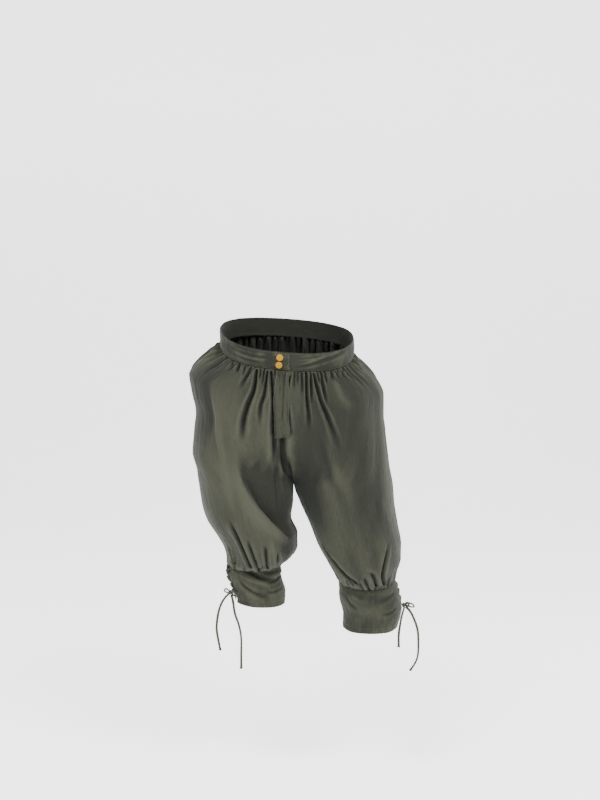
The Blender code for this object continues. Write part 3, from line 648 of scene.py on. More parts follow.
LEGS = {
    Side.LEFT: (
        Section(-0.385, 0.030, 0.255, -0.150, 0.153, 0.008, 1.0, 0.00, 0.00, 0.00),
        Section(-0.440, 0.055, 0.265, -0.146, 0.148, 0.002, 1.0, 0.00, 0.00, 0.00),
        Section(-0.490, 0.075, 0.275, -0.138, 0.144, -0.004, 1.0, 0.00, 0.00, 0.00),
        Section(-0.525, 0.095, 0.275, -0.129, 0.136, -0.008, 1.0, 0.02, 0.00, 0.00),
        Section(-0.550, 0.110, 0.265, -0.116, 0.117, -0.010, 1.0, 0.06, 0.00, 0.00),
        Section(-0.565, 0.120, 0.260, -0.098, 0.090, -0.011, 1.0, 0.14, 0.00, -0.01),
        Section(-0.575, 0.125, 0.260, -0.078, 0.056, -0.011, 1.0, 0.24, 0.00, -0.02),
    ),
    Side.RIGHT: (
        Section(-0.385, 0.015, -0.205, -0.147, 0.157, 0.014, 1.0, 0.00, 0.00, 0.00),
        Section(-0.425, 0.010, -0.190, -0.141, 0.158, 0.014, 1.0, 0.00, 0.00, 0.00),
        Section(-0.465, 0.025, -0.165, -0.131, 0.157, 0.014, 1.0, 0.00, 0.00, 0.00),
        Section(-0.495, 0.025, -0.150, -0.117, 0.150, 0.012, 1.0, 0.02, 0.00, 0.00),
        Section(-0.515, 0.015, -0.145, -0.103, 0.134, 0.009, 1.0, 0.05, 0.00, 0.00),
        Section(-0.530, -0.010, -0.145, -0.083, 0.106, 0.006, 1.0, 0.10, 0.00, 0.00),
        Section(-0.540, -0.015, -0.145, -0.057, 0.067, 0.005, 1.0, 0.17, 0.00, 0.00),
    ),
}


class CuffRow(NamedTuple):
    """One level of a knee cuff."""

    z: float
    inner: float
    outer: float
    front: float
    back: float
    dip: float
    lean: float


CUFFS = {
    Side.LEFT: (
        CuffRow(-0.575 - SEAM_GAP, 0.125, 0.260, -0.078, 0.056, 0.24, -0.02),
        CuffRow(-0.610, 0.125, 0.270, -0.079, 0.060, 0.18, 0.00),
        CuffRow(-0.650, 0.135, 0.275, -0.076, 0.058, 0.14, 0.00),
        CuffRow(-0.690, 0.135, 0.265, -0.072, 0.053, 0.12, 0.00),
    ),
    Side.RIGHT: (
        CuffRow(-0.540 - SEAM_GAP, -0.015, -0.145, -0.057, 0.067, 0.17, 0.00),
        CuffRow(-0.560, -0.015, -0.145, -0.059, 0.066, 0.17, 0.00),
        CuffRow(-0.585, -0.010, -0.135, -0.057, 0.066, 0.17, 0.00),
        CuffRow(-0.605, -0.005, -0.130, -0.056, 0.066, 0.17, 0.00),
        CuffRow(-0.630, -0.005, -0.125, -0.054, 0.064, 0.17, -0.04),
    ),
}
ROUNDNESS = 0.18  # how much fuller than an ellipse a section's corners are
SIDE_SEAM = 0.462  # share of the way round from the inner edge to the inner edge
# How the side seam comes forward below the pocket: the row, and the share of the way round there.
SEAM_PATH = {
    Side.RIGHT: ((5.6, 0.462), (6.6, 0.43), (8.0, 0.405), (11.0, 0.395), (16.0, 0.405)),
    Side.LEFT: ((5.6, 0.462), (8.0, 0.45), (10.0, 0.43), (12.5, 0.42), (14.5, 0.435), (16.0, 0.455)),
}
FORK_ROW = len(PELVIS) - 1
LAST_ROW = FORK_ROW + len(LEGS[Side.LEFT])
FORK_SLOPE_SHARED = [0, 1, 3, 4, 5, 7, 8, 9]  # the columns whose slope both legs share at the fork


def read_table(table: Array, slopes: Array, row: Any) -> Array:
    """A table's columns at any place between its rows.

    Args:
        table: the rows.
        slopes: the slope of each column at each row.
        row: places between 0 and the last row.

    Returns:
        An array with the columns first.
    """
    row = np.clip(np.asarray(row, float), 0.0, len(table) - 1.0)
    low = np.minimum(row.astype(int), len(table) - 2)
    s = (row - low)[..., None]
    value = (2 * s**3 - 3 * s**2 + 1) * table[low] + (s**3 - 2 * s**2 + s) * slopes[low]
    value = value + (3 * s**2 - 2 * s**3) * table[low + 1] + (s**3 - s**2) * slopes[low + 1]
    return np.moveaxis(value, -1, 0)


def tilted(z: Any, forward: Any, dip: Any, rise: Any, sideways: Any) -> Any:
    """Height on a section that slopes down to the front, up to the back, and sideways.

    Args:
        z: the section's height.
        forward: y from its middle.
        dip: its slope to the front.
        rise: its slope to the back.
        sideways: what its lean adds.

    Returns:
        The height.
    """
    soft = np.sqrt(forward**2 + 0.02**2) - 0.02
    return z + rise * (forward + soft) / 2 + dip * (forward - soft) / 2 + sideways


class LegForm:
    """One half of the breeches without creases, as a function of the way round and the row."""

    def __init__(self, side: Side) -> None:
        """Joins the tables of the pelvis and the leg."""
        self.side = side
        upper = [Section(r.z, r.inner, getattr(r, side.value), *r[4:]) for r in PELVIS]
        self.table = np.array(upper + list(LEGS[side]))
        steps = np.diff(self.table, axis=0)
        before, after = steps[:-1], steps[1:]
        same_way = before * after > 0
        total = np.where(same_way, before + after, 1.0)
        inner = np.where(same_way, 2.0 * before * after / total, 0.0)
        self.slopes = np.vstack([steps[:1], inner, steps[-1:]])
        self.slopes[FORK_ROW, FORK_SLOPE_SHARED] = steps[FORK_ROW - 1, FORK_SLOPE_SHARED]

    def columns(self, row: Any) -> Array:
        """The section's numbers at a row."""
        return read_table(self.table, self.slopes, row)

    def points(self, share: Any, row: Any) -> Array:
        """Points of the form.

        Args:
            share: the way round, 0 to 1 from the inner edge over the front, side and back.
            row: the place down the tables.

        Returns:
            The points.
        """
        z, inner, outer, front, back, seam, merge, dip, rise, lean = self.columns(row)
        middle, depth = (front + back) / 2, (back - front) / 2 * (1 + 0.37 * merge * (1 - merge))
        half_turn = (share - 0.5) * math.pi
        open_x = inner + (outer - inner) * np.cos(half_turn)
        open_y = middle + depth * np.sin(half_turn) * (1 + ROUNDNESS * np.cos(half_turn) ** 2)
        turn = 2 * half_turn
        closed_x = (inner + outer) / 2 + (outer - inner) / 2 * np.cos(turn)
        closed_y = middle + depth * np.sin(turn) * (1 + ROUNDNESS * np.cos(turn) ** 2)
        closed_y = closed_y + (seam - middle) * ((1 - np.cos(turn)) / 2) ** 2
        x = (1 - merge) * open_x + merge * closed_x
        y = (1 - merge) * open_y + merge * closed_y
        return np.stack([x, y, tilted(z, y - middle, dip, rise, lean * (x - inner))], axis=-1)

    def normals(self, share: Any, row: Any) -> Array:
        """Outward unit normals of the form."""
        step = 0.008

        def at(a: Any, r: Any) -> Array:
            a = np.where(r >= FORK_ROW, a % 1.0, np.clip(a, 0.0, 1.0))
            return self.points(a, r)

        across = at(share + step, row) - at(share - step, row)
        down = at(share, row + step) - at(share, row - step)
        return unit(np.cross(down, across)) * self.side.sign


# ---- Creases ---------------------------------------------------------------------------------
class Crease(NamedTuple):
    """One crease: its kind, half widths and depth in millimetres, how it starts and ends as
    shares of its length, and the line it follows in (x, z) as seen from its face."""

    kind: Fold
    width: float
    spread: float
    depth: float
    rise: float
    fade: float
    line: Sequence[tuple[float, float]]


VALLEY, RIDGE, LAP = Fold.VALLEY, Fold.RIDGE, Fold.LAP

FRONT_CREASES = (
    # The gathers below the waistband, from the wearer's right to the left.
    Crease(VALLEY, 2, 4, 3, 0.0, 0.8, ((-160, -15), (-170, -40))),
    Crease(VALLEY, 2, 4, 5, 0.0, 0.8, ((-140, -28), (-143, -45))),
    Crease(VALLEY, 2, 4, 4, 0.0, 0.8, ((-125, -38), (-132, -65))),
    Crease(VALLEY, 2.2, 4, 7, 0.0, 0.7, ((-110, -45), (-113, -55), (-117, -70))),
    Crease(VALLEY, 2.2, 5, 7, 0.0, 0.7, ((-83, -55), (-94, -76), (-112, -106))),
    Crease(
        VALLEY, 2.6, 7, 12, 0.0, 0.4,
        ((-70, -60), (-76, -105), (-91, -142), (-101, -181), (-106, -232)),
    ),
    Crease(VALLEY, 2, 3, 5, 0.0, 0.7, ((-61, -60), (-65, -90))),
    Crease(VALLEY, 2.2, 5, 9, 0.0, 0.5, ((-44, -62), (-52, -115), (-61, -145), (-64, -195))),
    Crease(
        VALLEY, 2.6, 8, 14, 0.0, 0.3,
        ((-37, -62), (-30, -127), (-31, -187), (-30, -241), (-27, -300)),
    ),
    Crease(VALLEY, 1.6, 2, 2.5, 0.0, 0.8, ((-28, -60), (-28, -85))),
    Crease(VALLEY, 2, 3, 6, 0.0, 0.6, ((-1, -62), (-10, -121), (-13, -190))),
    Crease(VALLEY, 2, 5, 6, 0.0, 0.6, ((8, -62), (0, -121), (5, -181), (15, -240))),
    Crease(VALLEY, 9, 8, 13, 0.10, 0.3, ((-12, -205), (-12, -250), (0, -310))),
    Crease(VALLEY, 2, 3, 4, 0.0, 0.8, ((25, -65), (25, -97))),
    Crease(VALLEY, 2, 4, 10, 0.0, 0.5, ((45, -65), (47, -127), (51, -169), (51, -208))),
    Crease(VALLEY, 2, 3, 7, 0.0, 0.6, ((56, -65), (57, -145))),
    Crease(
        VALLEY, 2.2, 6, 9, 0.0, 0.5, ((61, -65), (78, -127), (95, -169), (110, -208), (128, -255))
    ),
    Crease(VALLEY, 2, 4, 7, 0.0, 0.6, ((79, -65), (86, -106), (95, -151))),
    Crease(VALLEY, 2, 3, 5, 0.0, 0.7, ((87, -63), (95, -97))),
    Crease(VALLEY, 2, 4, 5, 0.0, 0.8, ((104, -60), (108, -88))),
    Crease(VALLEY, 2, 4, 4, 0.0, 0.8, ((118, -56), (121, -80))),
    Crease(RIDGE, 7, 14, 4, 0.2, 0.6, ((107, -76), (125, -118), (146, -142), (176, -151))),
    Crease(VALLEY, 2, 4, 5, 0.0, 0.8, ((132, -52), (132, -78))),
    Crease(VALLEY, 2, 3, 4, 0.0, 0.8, ((147, -46), (152, -62))),
    Crease(VALLEY, 1.6, 3, 4, 0.0, 0.7, ((-97, -52), (-103, -84))),
    Crease(VALLEY, 1.6, 3, 5, 0.0, 0.7, ((-52, -60), (-58, -112))),
    Crease(VALLEY, 1.6, 3, 4, 0.0, 0.7, ((18, -63), (16, -110))),
    Crease(VALLEY, 1.6, 3, 5, 0.0, 0.7, ((34, -64), (37, -122))),
    Crease(VALLEY, 1.6, 3, 4, 0.0, 0.7, ((70, -62), (80, -104))),
    # The wearer's left leg.
    Crease(
        VALLEY, 6, 14, 3, 0.3, 0.6, ((71, -193), (80, -241), (92, -286), (112, -330), (170, -420))
    ),
    Crease(RIDGE, 12, 18, 1.6, 0.4, 0.5, ((95, -240), (118, -320), (175, -425))),
    Crease(VALLEY, 9, 12, 3, 0.4, 0.6, ((207, -350), (219, -430))),
    Crease(VALLEY, 4, 4, 8, 0.3, 0.1, ((78, -470), (108, -508), (136, -540), (170, -572))),
    Crease(VALLEY, 4, 3, 7, 0.3, 0.1, ((110, -506), (135, -540), (160, -575))),
    Crease(VALLEY, 5, 3, 10, 0.4, 0.0, ((193, -530), (205, -550), (213, -575))),
    Crease(RIDGE, 5, 4, 5, 0.4, 0.1, ((183, -518), (205, -545), (219, -578))),
    Crease(VALLEY, 5, 3, 9, 0.4, 0.0, ((240, -468), (225, -542), (232, -575))),
    Crease(VALLEY, 4, 3, 8, 0.4, 0.0, ((180, -548), (195, -585))),
    # The wearer's right leg, whose cloth bags down over the cuff in one deep lap.
    Crease(
        RIDGE, 7, 11, 5, 0.3, 0.4,
        ((-169, -90), (-163, -169), (-148, -271), (-133, -352), (-106, -465)),
    ),
    Crease(
        LAP, 9, 7, 25, 0.6, 0.15,
        ((-118, -235), (-110, -295), (-98, -335), (-68, -385), (-18, -442), (12, -470)),
    ),
    Crease(VALLEY, 7, 11, 3, 0.3, 0.6, ((-60, -265), (-73, -300), (-85, -333))),
    Crease(VALLEY, 5, 8, 6, 0.3, 0.4, ((-21, -230), (-20, -340), (-7, -440))),
    Crease(VALLEY, 5, 7, 6, 0.3, 0.4, ((7, -250), (9, -340), (5, -430))),
    Crease(VALLEY, 5, 3, 9, 0.4, 0.0, ((-139, -403), (-115, -455), (-85, -530))),
    Crease(VALLEY, 4, 3, 7, 0.4, 0.0, ((-138, -480), (-125, -525))),
    Crease(VALLEY, 4, 3, 8, 0.4, 0.0, ((-95, -450), (-65, -545))),
    Crease(RIDGE, 6, 4, 6, 0.4, 0.0, ((-38, -455), (-32, -490), (-30, -525))),
    Crease(VALLEY, 4, 3, 9, 0.4, 0.0, ((-52, -470), (-46, -535))),
    Crease(VALLEY, 3, 3, 6, 0.4, 0.0, ((-22, -490), (-25, -530))),
)
BACK_CREASES = (
    Crease(VALLEY, 4, 8, 6, 0.0, 0.7, ((-142, -10), (-148, -48), (-156, -96))),
    Crease(VALLEY, 5, 10, 9, 0.0, 0.6, ((-118, -8), (-122, -56), (-132, -110), (-140, -170))),
    Crease(VALLEY, 3, 6, 5, 0.0, 0.7, ((-101, -6), (-103, -40), (-105, -78))),
    Crease(
        VALLEY, 5, 11, 10, 0.0, 0.5,
        ((-86, -4), (-88, -60), (-92, -120), (-102, -190), (-108, -260)),
    ),
    Crease(VALLEY, 3, 6, 5, 0.0, 0.7, ((-68, -2), (-69, -40), (-74, -84))),
    Crease(VALLEY, 4, 9, 8, 0.0, 0.6, ((-47, 0), (-48, -50), (-54, -110), (-62, -165))),
    Crease(VALLEY, 3, 6, 5, 0.0, 0.7, ((-30, 0), (-31, -36), (-32, -76))),
    Crease(VALLEY, 4, 8, 7, 0.0, 0.6, ((-14, 0), (-15, -50), (-16, -110), (-18, -150))),
    Crease(VALLEY, 4, 8, 7, 0.0, 0.6, ((13, 0), (14, -46), (18, -96), (20, -135))),
    Crease(VALLEY, 3, 6, 5, 0.0, 0.7, ((28, 0), (30, -40), (34, -80))),
    Crease(VALLEY, 5, 10, 10, 0.0, 0.5, ((44, -2), (47, -60), (56, -130), (64, -200), (72, -262))),
    Crease(VALLEY, 3, 6, 5, 0.0, 0.7, ((62, -4), (64, -44), (68, -86))),
    Crease(VALLEY, 4, 9, 8, 0.0, 0.6, ((78, -6), (82, -60), (92, -116), (100, -160))),
    Crease(VALLEY, 3, 6, 5, 0.0, 0.7, ((97, -8), (100, -44), (106, -84))),
    Crease(
        VALLEY, 5, 10, 9, 0.0, 0.6, ((112, -12), (116, -60), (128, -130), (142, -200), (150, -250))
    ),
    Crease(VALLEY, 4, 7, 6, 0.0, 0.7, ((136, -18), (142, -60), (152, -110))),
    Crease(RIDGE, 12, 18, 8, 0.4, 0.5, ((148, -290), (164, -370), (180, -440), (196, -510))),
    Crease(VALLEY, 10, 12, 8, 0.4, 0.4, ((108, -340), (124, -420), (148, -500), (160, -560))),
    Crease(VALLEY, 9, 12, 6, 0.4, 0.5, ((196, -250), (212, -340), (222, -430))),
    Crease(RIDGE, 12, 18, 7, 0.4, 0.5, ((-126, -280), (-112, -360), (-98, -430), (-86, -500))),
    Crease(VALLEY, 10, 12, 9, 0.4, 0.4, ((-72, -320), (-64, -400), (-62, -470), (-66, -530))),
    Crease(VALLEY, 9, 12, 6, 0.4, 0.5, ((-168, -240), (-160, -330), (-146, -420))),
    Crease(VALLEY, 8, 10, 6, 0.4, 0.5, ((-24, -250), (-18, -340), (-14, -430), (-22, -490))),
)
CREASES = {Face.FRONT: FRONT_CREASES, Face.BACK: BACK_CREASES}


class Gathers(NamedTuple):
    """One kind of small gather below the waistband: the shares of the way round between which they
    stand, how far each is shifted, the ranges of their sizes, and how they end."""

    shares: tuple[float, float]
    shift: float
    depth: tuple[float, float]
    width: tuple[float, float]
    spread: tuple[float, float]
    length: tuple[float, float]
    lean: float
    fade: float


SIDE_GATHERS = Gathers(
    (0.31, 0.66), 0.007, (2.5, 6.5), (2.2, 3.4), (4, 8), (0.025, 0.085), 0.015, 0.8
)
FINE_GATHERS = Gathers(
    (0.01, 0.99), 0.016, (2.2, 4.8), (1.5, 2.3), (3, 4.5), (0.018, 0.050), 0.006, 0.85
)


class Relief:
    """A grid of cloth points that creases move in and out along its normals."""

    LINE_POINTS = 26
    REACH = 4.5  # half widths that a crease reaches
    LAP_TAIL = 9.0  # half widths over which the cloth comes back below a lap
    SHARPEST = 0.03  # the least rounding at the bottom of a valley, in half widths squared

    def __init__(self, base: Array, normal: Array) -> None:
        """Starts with the plain form."""
        self.base = base
        self.normal = normal
        self.height = np.zeros(base.shape[:2])
        self.slide = np.zeros(base.shape)
        self.spacing = np.linalg.norm(np.gradient(base, axis=1), axis=-1)

    def follow(self, line: Sequence[tuple[float, float]], face: Face) -> Array:
        """A line seen from one face, laid on the form.

        Args:
            line: (x, z) points in millimetres.
            face: the face it is seen from.

        Returns:
            Points in space.
        """
        seen = through(np.array(line, float) * MM, self.LINE_POINTS)
        towards = self.normal[..., 1] < 0.2 if face is Face.FRONT else self.normal[..., 1] > -0.2
        points = self.base[towards][::2]
        gaps = (seen[:, :1] - points[:, 0]) ** 2 + (seen[:, 1:] - points[:, 2]) ** 2
        y = points[gaps.argmin(axis=1), 1]
        y = np.convolve(np.pad(y, 2, mode="edge"), np.ones(5) / 5, mode="valid")
        return np.column_stack([seen[:, 0], y, seen[:, 1]])

    def press(self, crease: Crease, line: Array, weight: Any = 1.0) -> None:
        """Adds one crease.

        Args:
            crease: its sizes.
            line: its points in space.
            weight: how much of it each point of the grid takes.
        """
        widest = max(crease.width, crease.spread) * MM
        reach = widest * (self.LAP_TAIL * 2 if crease.kind is LAP else self.REACH)
        inside = (self.base > line.min(axis=0) - reach) & (self.base < line.max(axis=0) + reach)
        near = inside.all(axis=-1)
        if not near.any():
            return
        normal = self.normal[near]
        steps = np.diff(line, axis=0)
        away = self.base[near][:, None] - line[:-1]
        share = np.clip((away * steps).sum(-1) / (steps**2).sum(-1), 0.0, 1.0)
        away = away - share[..., None] * steps
        far = (away**2).sum(-1)
        nearest = far.argmin(axis=-1)
        every = np.arange(len(nearest))
        step, away = unit(steps[nearest]), away[every, nearest]
        along = (nearest + share[every, nearest]) / len(steps)
        to_the_right = np.sign((np.cross(step, away) * normal).sum(-1))
        width = (crease.width + (crease.spread - crease.width) * along) * MM
        aside = np.sqrt(far[every, nearest]) * to_the_right / width
        strength = np.ones_like(along)
        if crease.rise:
            strength = smooth(-0.02, crease.rise, along)
        if crease.fade:
            strength = strength * (1 - smooth(1 - crease.fade, 1.02, along))
        if crease.kind is LAP:
            # It only moves cloth that faces forwards, so the inside of the leg stays full.
            strength = strength * smooth(0.05, 0.75, -normal[:, 1])
        softness = np.maximum(self.SHARPEST, (0.8 * self.spacing[near] / width) ** 2)
        out, over = self._profile(crease.kind, aside, softness)
        weight = np.broadcast_to(weight, self.height.shape)[near]
        self.height[near] += crease.depth * MM * strength * out * weight
        across = unit(np.cross(normal, step))
        self.slide[near] += across * (width * strength * over * weight)[:, None]

    def _profile(self, kind: Fold, aside: Array, softness: Array) -> tuple[Array, Array]:
        """How a crease moves the cloth, outwards and sideways, at a distance in half widths."""
        if kind is RIDGE:
            return np.exp(-(aside**2)), 0 * aside
        if kind is LAP:
            lip = 0.30 * np.exp(-(((aside + 1.3) / 1.6) ** 2))
            drop = smooth(-0.9, 1.1, aside) * np.exp(-(np.clip(aside - 1.1, 0, None) / self.LAP_TAIL))
            return lip - drop, 0.9 * np.exp(-(((aside + 0.6) / 1.1) ** 2))
        # A valley is a narrow crease between two rounded shoulders.
        narrow = np.exp(-1.7 * (np.sqrt(aside**2 + softness) - np.sqrt(softness)))
        trough = 0.45 * np.exp(-(aside**2)) + 0.55 * narrow
        shoulders = 0.40 * np.exp(-(((np.abs(aside) - 2.1) / 1.10) ** 2))
        return shoulders - trough, 0 * aside

    def points(self) -> Array:
        """The creased points."""
        return self.base + self.normal * self.height[..., None] + self.slide


@dataclass
class LegCloth:
    """One half's cloth at full detail: the form, its creases, gathers, seams and crinkles."""

    side: Side
    columns: int = 216  # in each panel
    rows: int = 190
    tuck: float = 0.0034  # how far the edges go in behind the waistband and the cuff
    waist_puckers: float = 0.0012
    cuff_gathers: int = 40
    waist_fill: int = 20  # small gathers of the sides, between those listed
    front_fill: int = 26  # short, fine ones between those of the front and of the back
    deepen: float = 1.45  # how much deeper the worn cloth's creases are than its flat ones
    drape: float = 0.0024
    crinkle: float = 0.00020
    pocket_top: float = 1.0
    pocket_bottom: float = 5.5
    pocket_gape: float = 0.026
    pocket_spread: float = 0.10
    fell: float = 0.0075  # width of the side seam's sewn-down fold
    form: LegForm = field(init=False)
    rubbed: Array = field(init=False)

    def __post_init__(self) -> None:
        """Lays out the grid and shapes it."""
        self.form = LegForm(self.side)
        self.row = self._rows()
        self.share = self._shares()
        share, row = self.share, np.repeat(self.row[:, None], 2 * self.columns, axis=1)
        self.row_grid = row
        base = self.form.points(share, row)
        normal = self.form.normals(share, row)
        # The edges at the waist and at the cuff move only level, along their bands.
        normal[..., 2] *= smooth(0.0, 1.0, row) * smooth(0.0, 4.0, LAST_ROW - row)
        normal = unit(normal)
        self.relief = Relief(base, normal)
        self._measure(base)
        self._crease()
        self._gather()
        self._sew()
        self._shape()

    def _rows(self) -> Array:
        """Rows that are even along the cloth, and closer together near its two ends."""
        fine = np.linspace(0, LAST_ROW, 1601)
        line = self.form.points(np.full_like(fine, 0.25), fine)
        length = np.concatenate([[0], np.cumsum(np.linalg.norm(np.diff(line, axis=0), axis=1))])
        t = np.linspace(0, 1, self.rows)
        eased = t - 0.35 * np.sin(2 * math.pi * t) / (2 * math.pi)
        return np.interp(eased * length[-1], length, fine)

    def _shares(self) -> Array:
        """Ways round for the front's columns and then the back's, short of each seam by a gap."""
        rows = self.row
        path = through(SEAM_PATH[self.side], 40)
        seam = np.interp(rows, path[:, 0], path[:, 1])

        def gap(share: Any) -> Array:
            share = share + 0 * rows
            step = np.where(share < 0.5, 0.002, -0.002)
            at, beside = (self.form.points(a, rows) for a in (share, share + step))
            return SEAM_GAP / 2 * np.abs(step) / np.linalg.norm(beside - at, axis=-1)

        even = np.linspace(0, 1, self.columns)
        ends = ((gap(0.0), seam - gap(seam)), (seam + gap(seam), 1 - gap(1.0)))
        return np.hstack([a[:, None] * (1 - even) + b[:, None] * even for a, b in ends])

    def _measure(self, base: Array) -> None:
        """Distances on the cloth: down from the waist, up from the cuff, and from the seams."""
        steps = np.linalg.norm(np.diff(base, axis=0), axis=-1)
        nothing = np.zeros((1, base.shape[1]))
        self.down = np.vstack([nothing, np.cumsum(steps, axis=0)])
        self.up = self.down[-1] - self.down
        across = np.linalg.norm(np.diff(base, axis=1), axis=-1)
        nothing = np.zeros((base.shape[0], 1))
        self.around = np.hstack([nothing, np.cumsum(across, axis=1)])
        self.aside = self.around - self.around[:, self.columns - 1 : self.columns]
        self.inseam = np.minimum(self.around, self.around[:, -1:] - self.around)

    def _crease(self) -> None:
        """Presses the listed creases, this half's own and those that cross the middle."""
        crossing = smooth(FORK_ROW - 0.5, FORK_ROW - 2.5, self.row_grid)
        for face, creases in CREASES.items():
            for crease in creases:
                middle = sum(x for x, _ in crease.line) / len(crease.line)
                own = middle * self.side.sign > 0
                if not own and min(x * self.side.sign * -1 for x, _ in crease.line) > 45:
                    continue
                line = self.relief.follow(crease.line, face)
                near_waist = smooth(-0.36, -0.24, self.relief.base[..., 2])
                deepen = 1 + (self.deepen - 1) * (1.0 if crease.kind is VALLEY else 0.0) * near_waist
                self.relief.press(crease, line, deepen * (1.0 if own else crossing))

    def _line_down(self, share: float, start: float, length: float, drift: float) -> Array:
        """A line on the form down from a place near the waist, or up from the cuff if length < 0.

        Args:
            share: the way round where it starts.
            start: distance from the end that it starts at.
            length: how far it goes.
            drift: how much the way round changes over it.

        Returns:
            Points in space.
        """
        t = np.linspace(0, 1, Relief.LINE_POINTS)
        column = int(np.abs(self.share[0] - share).argmin())
        reached = self.down[:, column] if length > 0 else self.up[::-1, column]
        rows = self.row if length > 0 else self.row[::-1]
        row = np.interp(start + abs(length) * t, reached, rows)
        return self.form.points(share + drift * t**1.5, row)

    def _gather(self) -> None:
        """Adds the small gathers at the sides of the waist and all round above the cuff."""
        seed = 11 if self.side is Side.LEFT else 23
        chance = np.random.default_rng(seed)
        for kind, count in ((SIDE_GATHERS, self.waist_fill), (FINE_GATHERS, self.front_fill)):
            shares = np.linspace(*kind.shares, count) + chance.uniform(-kind.shift, kind.shift, count)
            for share in shares:
                depth, width = chance.uniform(*kind.depth), chance.uniform(*kind.width)
                spread = chance.uniform(*kind.spread)
                length, lean = chance.uniform(*kind.length), chance.uniform(-kind.lean, kind.lean)
                crease = Crease(VALLEY, width, spread, depth, 0.0, kind.fade, ())
                self.relief.press(crease, self._line_down(share, 0.0, length, lean))
        count = self.cuff_gathers
        round_cuff = (np.arange(count) + chance.uniform(-0.33, 0.33, count)) / count
        for number, share in enumerate(round_cuff):
            long = number % 3 == 0
            length = chance.uniform(0.045, 0.095) if long else chance.uniform(0.014, 0.040)
            depth = chance.uniform(4.0, 7.5) if long else chance.uniform(2.2, 4.6)
            width, spread = chance.uniform(1.6, 2.8), chance.uniform(3.5, 7)
            crease = Crease(VALLEY, width, spread, depth, 0.0, 0.75, ())
            line = self._line_down(share % 1.0, 0.0, -length, chance.uniform(-0.02, 0.02))
            self.relief.press(crease, line)
        # Tiny puckers along the two sewn edges, where the threads were drawn up.
        cells = 90
        edges = ((Hills(seed + 1, cells), self.down, 0.010), (Hills(seed + 2, cells), self.up, 0.008))
        for hills, away, size in edges:
            wave = hills.at(self.share * cells, away / 0.02)
            self.relief.height += self.waist_puckers * wave * np.exp(-((away / size) ** 2)) * 1.2

    def _sew(self) -> None:
        """Adds the seams' grooves, the sewn-down fold beside the side seam, and the crinkles."""
        seed = 31 if self.side is Side.LEFT else 47
        height = self.relief.height
        middle = smooth(0.0, 0.03, self.down) * smooth(0.0, 0.03, self.up)
        drapes = Hills(seed, 9, 16).at(self.share * 9, self.down / 0.16)
        height += self.drape * drapes * middle * smooth(0.0, 0.03, self.inseam)
        folds = Hills(seed + 9, 24, 16).at(self.share * 24, self.down / 0.13)
        height += 0.45 * self.drape * folds * middle * smooth(0.0, 0.02, self.inseam)
        for cells, length, size in ((70, 0.060, 1.0), (150, 0.034, 0.75), (30, 0.090, 1.4)):
            hills = Hills(seed + cells, cells).at(self.share * cells, self.down / length)
            height += self.crinkle * size * hills * middle
        mouth = self._mouth()
        sewn = 1 - np.clip(mouth * 3, 0, 1)
        groove = -0.0010 * np.exp(-((self.aside / 0.0016) ** 2)) - 0.0004 * np.exp(
            -(((self.aside + self.fell) / 0.0013) ** 2)
        )
        fold = 0.0006 * smooth(-self.fell - 0.001, -self.fell + 0.001, self.aside)
        fold = fold * (1 - smooth(-0.0012, 0.0004, self.aside))
        puckers = Hills(seed + 5, 64, 128).at(self.aside / 0.012, self.down / 0.011)
        puckers = 0.0006 * puckers * np.exp(-((self.aside / 0.009) ** 2))
        height += (groove + 1.6 * fold + puckers) * sewn * middle
        edge = np.exp(-(((self.aside - 0.002) / 0.0012) ** 2))
        rubbed = smooth(0.0, 0.0005, fold + 0.35 * puckers) + 0.6 * edge
        self.rubbed = 0.55 * rubbed * sewn * middle
        height += -0.0010 * np.exp(-((self.inseam / 0.0018) ** 2)) * middle

    def _mouth(self) -> Array:
        """How open the pocket's mouth is, 0 to 1, at each point of the grid."""
        share = (self.row_grid - self.pocket_top) / (self.pocket_bottom - self.pocket_top)
        open_mouth = np.sin(math.pi * np.clip(share, 0, 1)) ** 0.8
        return np.where((share > 0) & (share < 1), open_mouth, 0.0)

    def _shape(self) -> None:
        """Works out the finished outside and inside points."""
        relief = self.relief
        held = 0.75 + 0.25 * smooth(0.0, 0.010, self.down)
        held = held * (0.45 + 0.55 * smooth(0.0, 0.014, self.up))
        relief.height *= held
        relief.slide *= held[..., None]
        # Ridge is low in the creases' valleys, where the cloth's material paints shade, and high on
        # ridges and rubbed seam edges, which it lightens as wear.
        self.ridge = np.clip(relief.height / 0.006 * 0.5 + 0.35 + self.rubbed, 0, 1)
        tucked = np.maximum(1 - smooth(0.0, 0.0036, self.down), 1 - smooth(0.0022, 0.0062, self.up))
        relief.height -= self.tuck * tucked
        side_seam = np.abs(self.share - SIDE_SEAM)
        back = np.arange(2 * self.columns) >= self.columns
        drawn = self.pocket_gape * self._mouth() * (1 - smooth(0.0, self.pocket_spread, side_seam))
        relief.height -= drawn * back
        self.outside = relief.points()
        self._keep_to_own_side(self.outside)

    def _keep_to_own_side(self, points: Array) -> None:
        """Holds a half on its own side of the centre seam, above the fork."""
        seam_x = self.form.columns(self.row_grid)[1]
        beside = (points[..., 0] - seam_x) * self.side.sign
        short = np.where(self.row_grid <= FORK_ROW, np.clip(SEAM_GAP / 2 - beside, 0, None), 0.0)
        points[..., 0] += short * self.side.sign

